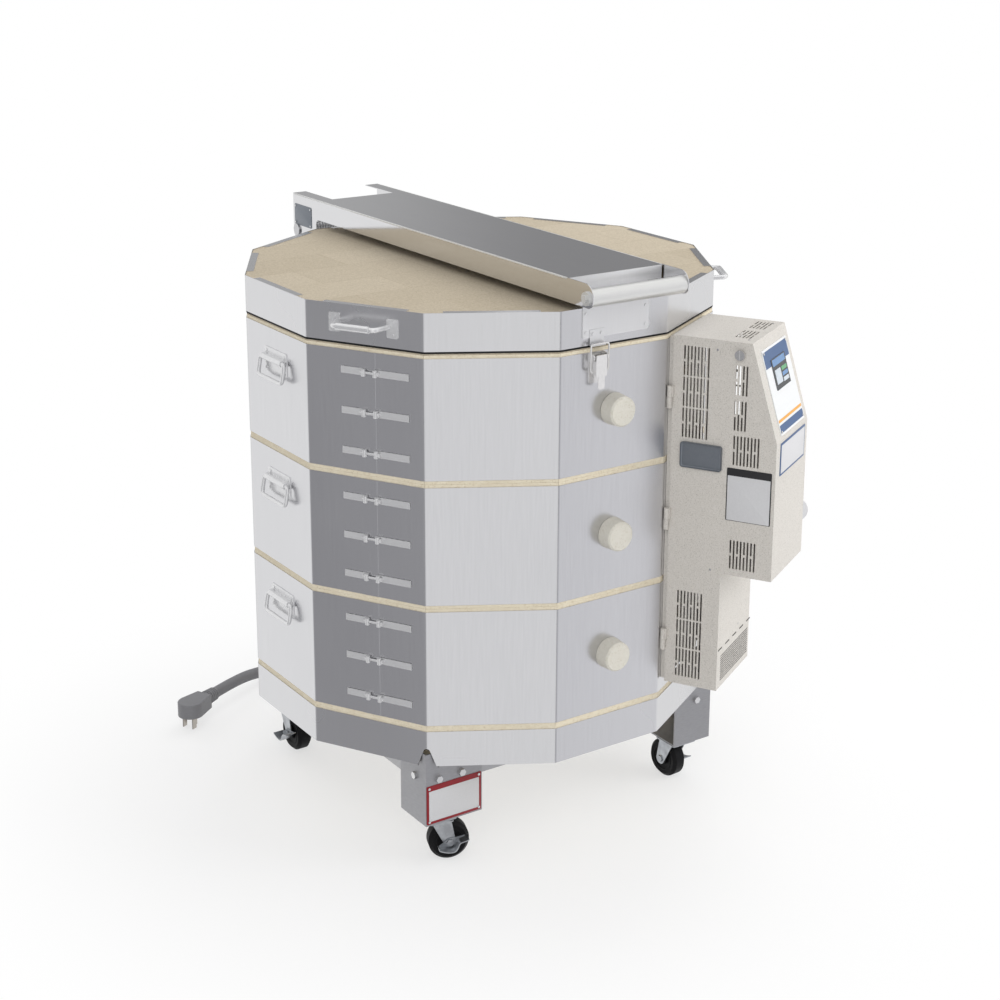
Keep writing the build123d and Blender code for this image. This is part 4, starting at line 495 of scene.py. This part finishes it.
def settle(piece, name, place, material, body, smooth=False):
    """Names a piece, puts its place into its mesh and lets it ride on a body."""
    piece.name = name
    piece.data.name = name
    piece.matrix_world = place @ piece.matrix_world
    bpy.ops.object.select_all(action="DESELECT")
    piece.select_set(True)
    bpy.context.view_layer.objects.active = piece
    bpy.ops.object.transform_apply(location=True, rotation=True, scale=True)
    if smooth:
        bpy.ops.object.shade_smooth_by_angle(angle=math.radians(35))
    piece.data.materials.clear()
    piece.data.materials.append(material)
    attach(piece, body)
    return piece


def block(width, height, thick, corner=0.0, edge=0.06):
    """Rounded plate that stands on its own z = 0, in millimetres."""
    bpy.ops.object.select_all(action="DESELECT")
    bpy.ops.mesh.primitive_cube_add(size=1)
    piece = bpy.context.object
    piece.scale = (width * MM, height * MM, thick * MM)
    piece.location = (0, 0, thick * MM / 2)
    bpy.ops.object.transform_apply(location=True, rotation=True, scale=True)
    if corner:
        bpy.ops.object.mode_set(mode="EDIT")
        bpy.ops.mesh.select_all(action="DESELECT")
        bpy.ops.object.mode_set(mode="OBJECT")
        for line in piece.data.edges:
            a, b = (piece.data.vertices[i].co for i in line.vertices)
            line.select = abs(a.x - b.x) + abs(a.y - b.y) < 1e-7
        bpy.ops.object.mode_set(mode="EDIT")
        bpy.ops.mesh.select_mode(type="EDGE")
        bpy.ops.mesh.bevel(offset=corner * MM, segments=6, affect="EDGES")
        bpy.ops.object.mode_set(mode="OBJECT")
    soften(piece, edge)
    return piece


def soften(piece, edge, segments=2):
    """Rounds a piece's sharp edges."""
    bevel = piece.modifiers.new("edge", "BEVEL")
    bevel.width = edge * MM
    bevel.segments = segments
    bevel.limit_method = "ANGLE"
    bevel.angle_limit = math.radians(40)
    bpy.context.view_layer.objects.active = piece
    bpy.ops.object.modifier_apply(modifier="edge")


def stud(radius, height, sides=20, dome=0.4):
    """Domed rivet or screw head that stands on its own z = 0."""
    bpy.ops.object.select_all(action="DESELECT")
    bpy.ops.mesh.primitive_cylinder_add(vertices=sides, radius=radius * MM, depth=height * MM)
    piece = bpy.context.object
    piece.location = (0, 0, height * MM / 2)
    bpy.ops.object.transform_apply(location=True, rotation=True, scale=True)
    soften(piece, height * dome, 3)
    return piece


def hoop(outer, inner, height, sides=48, edge=0.4):
    """Flat ring with softened rims that stands on its own z = 0."""
    bpy.ops.object.select_all(action="DESELECT")
    bpy.ops.mesh.primitive_cylinder_add(
        vertices=sides, radius=outer * MM, depth=height * MM, end_fill_type="NGON",
    )
    piece = bpy.context.object
    piece.location = (0, 0, height * MM / 2)
    bpy.ops.object.transform_apply(location=True, rotation=True, scale=True)
    for face in piece.data.polygons:
        face.select = abs(face.normal.z) > 0.9
    bpy.ops.object.mode_set(mode="EDIT")
    bpy.ops.mesh.select_mode(type="FACE")
    bpy.ops.mesh.inset(thickness=(outer - inner) * MM, use_individual=True)
    bpy.ops.mesh.bridge_edge_loops()
    bpy.ops.mesh.select_all(action="SELECT")
    bpy.ops.mesh.normals_make_consistent(inside=False)
    bpy.ops.object.mode_set(mode="OBJECT")
    soften(piece, edge)
    return piece


def join(pieces):
    """Makes these pieces one object."""
    bpy.ops.object.select_all(action="DESELECT")
    for piece in pieces:
        piece.select_set(True)
    bpy.context.view_layer.objects.active = pieces[0]
    if len(pieces) > 1:
        bpy.ops.object.join()
    return bpy.context.view_layer.objects.active


def moved(piece, x=0.0, y=0.0, z=0.0):
    """Shifts a piece within its own mesh, in millimetres."""
    piece.location = (x * MM, y * MM, z * MM)
    bpy.ops.object.select_all(action="DESELECT")
    piece.select_set(True)
    bpy.context.view_layer.objects.active = piece
    bpy.ops.object.transform_apply(location=True, rotation=True, scale=True)
    return piece


def studs_at(spots, radius, height, sides=20):
    """One object with a stud at each spot."""
    return join([moved(stud(radius, height, sides), x, y, z) for x, y, z in spots])


# Bare plates and a knock-out on the control case
settle(
    block(78, 47, 0.8, 5, 0.3), "plate_side_grey", across(CONTROL, 498.8, STAND_H + 546, CASE_LEFT),
    plate_grey, "case", True,
)
settle(
    block(83, 98, 0.6, 2, 0.2), "plate_side_white", across(CONTROL, 589.3, STAND_H + 483.5, CASE_LEFT),
    plate_black, "case", True,
)
settle(
    block(79, 83, 0.4, 1, 0.1), "plate_side_face", across(CONTROL, 589.3, STAND_H + 477, CASE_LEFT - 0.6),
    plate_white, "case", True,
)
settle(
    block(139.5, 60, 1.0, 2, 0.3), "plate_front_edge", wall(CONTROL, 637, STAND_H + 552, -16.75),
    plate_blue, "case", True,
)
settle(
    block(131.5, 52, 0.4, 1, 0.1), "plate_front_face", wall(CONTROL, 638, STAND_H + 552, -16.75),
    plate_white, "case", True,
)
settle(
    studs_at([(0, 0, 0)], 8, 0.8, 32), "knockout_left", across(CONTROL, 567, STAND_H + 416, CASE_LEFT),
    case_paint, "case", True,
)

# Screws on the case
SIDE_SCREWS = ((523, 744), (523, 335))
TOP_SCREWS = ((572, -86), (572, 46))
for number, (out, z) in enumerate(SIDE_SCREWS):
    settle(
        studs_at([(0, 0, 0)], 2.2, 0.9), "case_screw_left_%d" % number,
        across(CONTROL, out, STAND_H + z, CASE_LEFT), zinc_bolt, "case", True,
    )
    right_spot = spot_on(CONTROL, out, STAND_H + z, CASE_RIGHT)
    settle(
        studs_at([(0, 0, 0)], 2.2, 0.9), "case_screw_right_%d" % number,
        seat(right_spot, outward(CONTROL), outward(CONTROL + 90)), zinc_bolt, "case", True,
    )
for number, (out, t) in enumerate(TOP_SCREWS):
    top_spot = spot_on(CONTROL, out, STAND_H + CASE_TOP, t)
    settle(
        studs_at([(0, 0, 0)], 2.2, 0.9), "case_screw_top_%d" % number,
        seat(top_spot, outward(CONTROL), (0, 0, 1)), zinc_bolt, "case", True,
    )

# Panel overlay in a plain layout of its own, its corner screws and the picture on the screen
SLOPE_TOP_OUT = 586
SLOPE_FOOT_OUT = 637
SLOPE_FOOT = 587
PANEL_MIDDLE = -14.75
PANEL_LIFT = 1.5
SCREEN_LIFT = 2.5
slope_run = SLOPE_FOOT_OUT - SLOPE_TOP_OUT
slope_drop = CASE_TOP - SLOPE_FOOT
slope_len = math.hypot(slope_run, slope_drop)
slope_normal = outward(CONTROL) * (slope_drop / slope_len) + Vector((0, 0, slope_run / slope_len))


def slope(down, t, lift):
    """On the sloping panel: this far down it, t to the side and lifted off it."""
    out = SLOPE_TOP_OUT + slope_run * down / slope_len
    z = STAND_H + CASE_TOP - slope_drop * down / slope_len
    return seat(spot_on(CONTROL, out, z, t) + slope_normal * lift, outward(CONTROL + 90), slope_normal)


settle(block(127, 30, 0.25, 1), "panel_band_top", slope(40, PANEL_MIDDLE, PANEL_LIFT), plate_blue, "case")
settle(block(127, 5, 0.25), "panel_band_line", slope(150, PANEL_MIDDLE, PANEL_LIFT), plate_orange, "case")
settle(block(127, 14, 0.25, 1), "panel_band_foot", slope(164, PANEL_MIDDLE, PANEL_LIFT), plate_blue, "case")
settle(
    studs_at([(-60, 71, 0), (60, 71, 0), (-60, -71, 0), (60, -71, 0)], 2.6, 1.4), "panel_screws",
    slope(98, PANEL_MIDDLE, PANEL_LIFT), zinc_bolt, "case", True,
)
settle(block(66, 12, 0.15), "screen_head", slope(52, -12.5, SCREEN_LIFT), screen_blue, "case")
settle(block(30, 26, 0.15), "screen_field", slope(78, -27.5, SCREEN_LIFT), screen_pale, "case")
settle(block(28, 7, 0.15), "screen_button_a", slope(69, 6.5, SCREEN_LIFT), screen_green, "case")
settle(block(28, 7, 0.15), "screen_button_b", slope(79, 6.5, SCREEN_LIFT), screen_blue, "case")
settle(block(28, 7, 0.15), "screen_button_c", slope(89, 6.5, SCREEN_LIFT), screen_pale, "case")

# Perforated guard and slots on the case's lower front: the openings are real, their black fill is painted shade
# for the dark inside the case
HOLES_ALONG = 35
HOLES_UP = 12
HOLE_PITCH = 4.3
bpy.ops.object.select_all(action="DESELECT")
bpy.ops.mesh.primitive_cylinder_add(vertices=10, radius=1.5 * MM, depth=0.3 * MM, end_fill_type="NGON")
hole = bpy.context.object
for face in hole.data.polygons:
    face.select = face.normal.z > 0.9
bpy.ops.object.mode_set(mode="EDIT")
bpy.ops.mesh.select_mode(type="FACE")
bpy.ops.mesh.inset(thickness=0.3 * MM)
bpy.ops.transform.translate(value=(0, 0, -0.15 * MM))
bpy.ops.object.mode_set(mode="OBJECT")
for count, way in ((HOLES_ALONG, Vector((1, 0, 0))), (HOLES_UP, Vector((0, 1, 0)))):
    array = hole.modifiers.new("row", "ARRAY")
    array.count = count
    array.use_relative_offset = False
    array.use_constant_offset = True
    array.constant_offset_displace = way * (HOLE_PITCH * MM)
    bpy.ops.object.modifier_apply(modifier="row")
settle(
    moved(hole, -(HOLES_ALONG - 1) / 2 * HOLE_PITCH, -(HOLES_UP - 1) / 2 * HOLE_PITCH), "guard_holes",
    wall(CONTROL, 542.1, STAND_H + 138, -13.5), painted_shade_black, "case",
)
dashes = [moved(block(21, 2.4, 0.3, 1.1), x) for x in (-78, -39, 0, 39, 78)]
settle(join(dashes), "guard_slots", wall(CONTROL, 542, STAND_H + 178, -15), painted_shade_black, "case")
settle(
    studs_at([(0, 0, 0)], 1.8, 0.7), "guard_screw", wall(CONTROL, 542, STAND_H + 192, 4), zinc_bolt,
    "case", True,
)

# Bare plate on the stand
leg_plate_spot = Vector((-260.5, AXIS_Y - 319, STAND_H - 77.5))
leg_plate_seat = seat(leg_plate_spot, (1, 0, 0), (0, -1, 0))
settle(block(117, 76, 0.8, 2, 0.2), "leg_plate_edge", leg_plate_seat, plate_red, "kiln_body", True)
settle(
    block(107, 60, 0.4, 1), "leg_plate_face",
    leg_plate_seat @ Matrix.Translation((0, -2.5 * MM, 0.8 * MM)), plate_white, "kiln_body", True,
)
settle(
    studs_at([(-53, 33, 0.8), (53, 33, 0.8), (-53, -33, 0.8), (53, -33, 0.8)], 2.6, 1.4),
    "leg_plate_rivets", leg_plate_seat, zinc_bolt, "kiln_body", True,
)

# Channel's front plate and bright folds, and a painted shadow line under the lid's band
settle(
    block(198, 23, 0.6, 0, 0.2), "channel_front_plate", wall(-90, APOTHEM + 0.05, LID_TOP + 45.4, -1.5),
    bracket_steel, "lid", True,
)
for side, name in ((-1, "left"), (1, "right")):
    fold = block(3.6, 3.6, 975, 1.7, 0.4)
    settle(
        fold, "deck_fold_" + name,
        seat((side * 100.6, AXIS_Y - 428, LID_TOP + 55.9), (1, 0, 0), (0, 1, 0)), tube_steel, "lid", True,
    )
# Painted shadow: a thin black hoop where the gap between the lid and the top ring lies in shade
gap_shadow_place = seat((0, AXIS_Y, LID_TOP - 67.3), outward(HALF_SIDE), (0, 0, 1))
settle(hoop(446.7, 443.2, 1.2, 12, 0.2), "lid_gap_painted_shadow", gap_shadow_place, painted_shade_black, "lid")

# Bare plate on the hinge channel's arm
arm_plate_spot = Vector((-102, AXIS_Y + 508.5, STAND_H + 848))
arm_plate_seat = seat(arm_plate_spot, (0, -1, 0), (-1, 0, 0))
settle(block(73, 44, 0.8, 4, 0.2), "arm_plate", arm_plate_seat, plate_grey, "lid", True)
settle(
    studs_at([(-32, 17, 0.8), (32, 17, 0.8), (-32, -17, 0.8), (32, -17, 0.8)], 2, 1.2), "arm_plate_rivets",
    arm_plate_seat, zinc_bolt, "lid", True,
)


def wire(name, points, radius, material, body, sides=2):
    """Round wire through these points, in metres."""
    data = bpy.data.curves.new(name, "CURVE")
    data.dimensions = "3D"
    run = data.splines.new("POLY")
    run.points.add(len(points) - 1)
    for target, point in zip(run.points, points):
        target.co = (*point, 1)
    data.bevel_depth = radius * MM
    data.bevel_resolution = sides
    data.use_fill_caps = True
    piece = bpy.data.objects.new(name, data)
    scene.collection.objects.link(piece)
    data.materials.append(material)
    bpy.ops.object.select_all(action="DESELECT")
    piece.select_set(True)
    bpy.context.view_layer.objects.active = piece
    bpy.ops.object.convert(target="MESH")
    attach(piece, body)
    return piece


# Counterbalance springs: wound wire in place of the plain sleeves
COIL_PITCH = 6.8
COIL_LENGTH = 76
COIL_START = 12
COIL_RADIUS = 18
COIL_WIRE = 3.0
COIL_STEPS = 20
for side in (-1, 1):
    points = []
    turns = COIL_LENGTH / COIL_PITCH
    steps = int(turns * COIL_STEPS)
    for step in range(steps + 1):
        angle = 2 * math.pi * step / COIL_STEPS
        along = COIL_START + COIL_WIRE + (COIL_LENGTH - 2 * COIL_WIRE) * step / steps
        x = side * along
        y = PIVOT[1] + AXIS_Y + COIL_RADIUS * math.cos(angle)
        z = PIVOT[2] + COIL_RADIUS * math.sin(angle)
        points.append((x * MM, y * MM, z * MM))
    spring = wire(
        "spring_coil_%s" % ("left" if side < 0 else "right"), points, COIL_WIRE, spring_steel,
        "kiln_body",
    )
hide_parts("hinge_springs")

# Heating elements: wound wire in the grooves in place of the plain tubes
ELEMENT_OUT = 361.6
ELEMENT_END = 20
ELEMENT_RADIUS = 4.4
ELEMENT_STEPS = 8
ROW_PITCH = 68
WINDING = 8.5
corner_out = ELEMENT_OUT / math.cos(math.radians(HALF_SIDE))
row_points = [spot_on(CONTROL, ELEMENT_OUT, 0, ELEMENT_END)]
row_points += [spot_on(CONTROL + HALF_SIDE + 2 * HALF_SIDE * k, corner_out, 0) for k in range(12)]
row_points += [spot_on(CONTROL, ELEMENT_OUT, 0, -ELEMENT_END)]


def rounded(points, cut=14.0):
    """The route with each corner turned in three short steps."""
    path = [points[0]]
    for before, corner, after in zip(points, points[1:], points[2:]):
        a = corner + (before - corner).normalized() * cut
        b = corner + (after - corner).normalized() * cut
        path += [a, a * 0.25 + corner * 0.5 + b * 0.25, b]
    return path + [points[-1]]


element_path = rounded(row_points)
for ring in range(3):
    for row in range(3):
        z = FLOOR_TOP + RING_H * (ring + 0.5) + (row - 1) * ROW_PITCH
        centre = []
        for a, b in zip(element_path, element_path[1:]):
            length = (b - a).length
            count = max(1, int(length / (WINDING / ELEMENT_STEPS)))
            for step in range(count):
                centre.append(a.lerp(b, step / count))
        helix = []
        for number, point in enumerate(centre):
            radial = Vector((point.x, point.y - AXIS_Y, 0)).normalized()
            angle = 2 * math.pi * number / ELEMENT_STEPS
            rise = Vector((0, 0, ELEMENT_RADIUS * math.sin(angle)))
            offset = radial * (ELEMENT_RADIUS * math.cos(angle)) + rise
            helix.append((point + offset + Vector((0, 0, z))) * MM)
        wire("element_%s_%d" % (RINGS[ring], row), helix, 1.0, element_wire, "kiln_body", 0)
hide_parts("heating_elements")

# Moulded ribs on the plug's neck
ribs = [moved(hoop(15.9 - 0.35 * k, 13.3 - 0.35 * k, 2.6, 40, 0.9), z=k * 6) for k in range(5)]
settle(
    join(ribs), "plug_ribs", seat(PLUG + Vector((0, 0, 15.5)) + plug_way * 51.7, (0, 0, 1), plug_way),
    plug_rubber, "kiln_body", True,
)

# Wheels: a raised ring on each face
for corner in CORNERS:
    low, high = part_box("caster_wheel_" + corner)
    middle = (Vector(low) + Vector(high)) / 2
    joint = [j for j in frame["joints"] if j["name"] == "caster_roll_" + corner][0]
    axle = Vector(joint["axis"])
    rings = [moved(hoop(25.5, 22.2, 3, 48, 0.9), z=z) for z in (-15.1, 12.1)]
    settle(
        join(rings), "wheel_rings_" + corner, seat(middle / MM, (0, 0, 1), axle), wheel_black,
        "caster_wheel_" + corner, True,
    )

# Floor and light
bpy.ops.mesh.primitive_plane_add(size=60)
floor = bpy.context.object
floor.name = "floor"


def make_floor_paint():
    """White paint, part plain white near the object, where its shadow stays, and wholly so further off."""
    material = finish_of(
        "floor_paint", (0.90, 0.90, 0.90), (0.895, 0.895, 0.895), 0.0, (0.7, 0.8), 2, (1, 1, 1), 0.3, 0.0,
    )
    tree = material.node_tree
    paint = tree.nodes["Principled BSDF"]
    place = tree.nodes.new("ShaderNodeTexCoord")
    reach = tree.nodes.new("ShaderNodeVectorMath")
    reach.operation = "LENGTH"
    fade = tree.nodes.new("ShaderNodeMapRange")
    fade.interpolation_type = "SMOOTHSTEP"
    fade.inputs["From Min"].default_value = 0.5
    fade.inputs["From Max"].default_value = 1.15
    fade.inputs["To Min"].default_value = 0.62
    path = tree.nodes.new("ShaderNodeLightPath")
    seen = tree.nodes.new("ShaderNodeMath")
    seen.operation = "ADD"
    through = tree.nodes.new("ShaderNodeMath")
    through.operation = "ADD"
    through.use_clamp = True
    share = tree.nodes.new("ShaderNodeMath")
    share.operation = "MULTIPLY"
    white = tree.nodes.new("ShaderNodeEmission")
    mix = tree.nodes.new("ShaderNodeMixShader")
    links = tree.links
    links.new(place.outputs["Object"], reach.inputs[0])
    links.new(reach.outputs["Value"], fade.inputs["Value"])
    links.new(path.outputs["Is Camera Ray"], seen.inputs[0])
    links.new(path.outputs["Is Glossy Ray"], seen.inputs[1])
    links.new(seen.outputs[0], through.inputs[0])
    links.new(path.outputs["Is Transmission Ray"], through.inputs[1])
    links.new(through.outputs[0], share.inputs[0])
    links.new(fade.outputs[0], share.inputs[1])
    links.new(share.outputs[0], mix.inputs[0])
    links.new(paint.outputs[0], mix.inputs[1])
    links.new(white.outputs[0], mix.inputs[2])
    links.new(mix.outputs[0], tree.nodes["Material Output"].inputs["Surface"])
    return material


floor.data.materials.append(make_floor_paint())
floor.visible_glossy = False


def lamp(name, place, target, size, power):
    """Square soft lamp that reflections don't see."""
    data = bpy.data.lights.new(name, "AREA")
    data.shape = "SQUARE"
    data.size = size
    data.energy = power
    light = bpy.data.objects.new(name, data)
    scene.collection.objects.link(light)
    light.location = place
    light.rotation_euler = (Vector(target) - Vector(place)).to_track_quat("-Z", "Y").to_euler()
    light.visible_glossy = False
    return light


lamp("key", (-2.6, -3.2, 3.4), (0, 0, 0.6), 2.6, 50)
lamp("fill", (3.2, -2.6, 2.2), (0, 0, 0.6), 2.6, 78)
lamp("top", (1.8, 1.0, 3.4), (0.2, 0, 0.9), 2.4, 40)
lamp("rear", (-0.5, 4.0, 2.6), (0, 0, 0.6), 2.4, 30)

# World: the camera sees plain white, and the object gets even light. Reflections see neither of these,
# but a surround of greys by direction, set for the steel as the photograph's view shows it.
world = bpy.data.worlds.new("studio")
scene.world = world
world.use_nodes = True
tree = world.node_tree
tree.nodes.clear()
place = tree.nodes.new("ShaderNodeTexCoord")
split = tree.nodes.new("ShaderNodeSeparateXYZ")
turn = tree.nodes.new("ShaderNodeMath")
turn.operation = "ARCTAN2"
share = tree.nodes.new("ShaderNodeMapRange")
share.inputs["From Min"].default_value = -math.pi
share.inputs["From Max"].default_value = math.pi
around = tree.nodes.new("ShaderNodeValToRGB")
around.color_ramp.interpolation = "EASE"


def direction_share(degrees):
    return (degrees + 180) / 360


STOPS = (
    (-180, (0.35, 0.35, 0.365)),
    (-178, (0.42, 0.42, 0.435)),
    (-150, (0.36, 0.36, 0.37)),
    (-136, (0.86, 0.86, 0.87)),
    (-100, (0.92, 0.92, 0.925)),
    (-94, (0.70, 0.70, 0.71)),
    (-88, (0.26, 0.26, 0.27)),
    (-80, (0.55, 0.55, 0.57)),
    (-56, (0.70, 0.70, 0.73)),
    (-48, (0.94, 0.94, 0.96)),
    (-12, (0.95, 0.95, 0.95)),
    (8, (0.93, 0.93, 0.93)),
    (30, (1.0, 1.0, 1.0)),
    (46, (0.28, 0.28, 0.285)),
    (54, (0.28, 0.28, 0.285)),
    (62, (0.44, 0.44, 0.445)),
    (84, (0.60, 0.60, 0.605)),
    (104, (0.96, 0.96, 0.96)),
    (140, (0.98, 0.98, 0.985)),
    (164, (0.42, 0.42, 0.435)),
    (178, (0.28, 0.28, 0.295)),
)
ramp = around.color_ramp
while len(ramp.elements) > 1:
    ramp.elements.remove(ramp.elements[-1])
ramp.elements[0].position = 0
ramp.elements[0].color = (*STOPS[0][1], 1)
for degrees, colour in STOPS[1:]:
    stop = ramp.elements.new(direction_share(degrees))
    stop.color = (*colour, 1)
height = tree.nodes.new("ShaderNodeMapRange")
height.inputs["From Min"].default_value = 0.45
height.inputs["From Max"].default_value = 0.8
overhead = tree.nodes.new("ShaderNodeMix")
overhead.data_type = "RGBA"
overhead.inputs["B"].default_value = (1.0, 1.0, 1.0, 1)
glow = tree.nodes.new("ShaderNodeBackground")
plain = tree.nodes.new("ShaderNodeBackground")
plain.inputs["Color"].default_value = (1, 1, 1, 1)
soft = tree.nodes.new("ShaderNodeBackground")
soft.inputs["Color"].default_value = (0.6, 0.6, 0.6, 1)
path = tree.nodes.new("ShaderNodeLightPath")
shown = tree.nodes.new("ShaderNodeMath")
shown.operation = "ADD"
mirror = tree.nodes.new("ShaderNodeMixShader")
pick = tree.nodes.new("ShaderNodeMixShader")
out = tree.nodes.new("ShaderNodeOutputWorld")
tree.links.new(place.outputs["Generated"], split.inputs[0])
tree.links.new(split.outputs["Y"], turn.inputs[0])
tree.links.new(split.outputs["X"], turn.inputs[1])
tree.links.new(turn.outputs[0], share.inputs["Value"])
tree.links.new(share.outputs[0], around.inputs[0])
tree.links.new(split.outputs["Z"], height.inputs["Value"])
tree.links.new(height.outputs[0], overhead.inputs["Factor"])
tree.links.new(around.outputs["Color"], overhead.inputs["A"])
tree.links.new(overhead.outputs["Result"], glow.inputs["Color"])
tree.links.new(path.outputs["Is Glossy Ray"], shown.inputs[0])
tree.links.new(path.outputs["Is Transmission Ray"], shown.inputs[1])
tree.links.new(shown.outputs[0], mirror.inputs[0])
tree.links.new(soft.outputs[0], mirror.inputs[1])
tree.links.new(glow.outputs[0], mirror.inputs[2])
tree.links.new(path.outputs["Is Camera Ray"], pick.inputs[0])
tree.links.new(mirror.outputs[0], pick.inputs[1])
tree.links.new(plain.outputs[0], pick.inputs[2])
tree.links.new(pick.outputs[0], out.inputs["Surface"])
scene.view_settings.view_transform = "Standard"

bpy.context.view_layer.update()
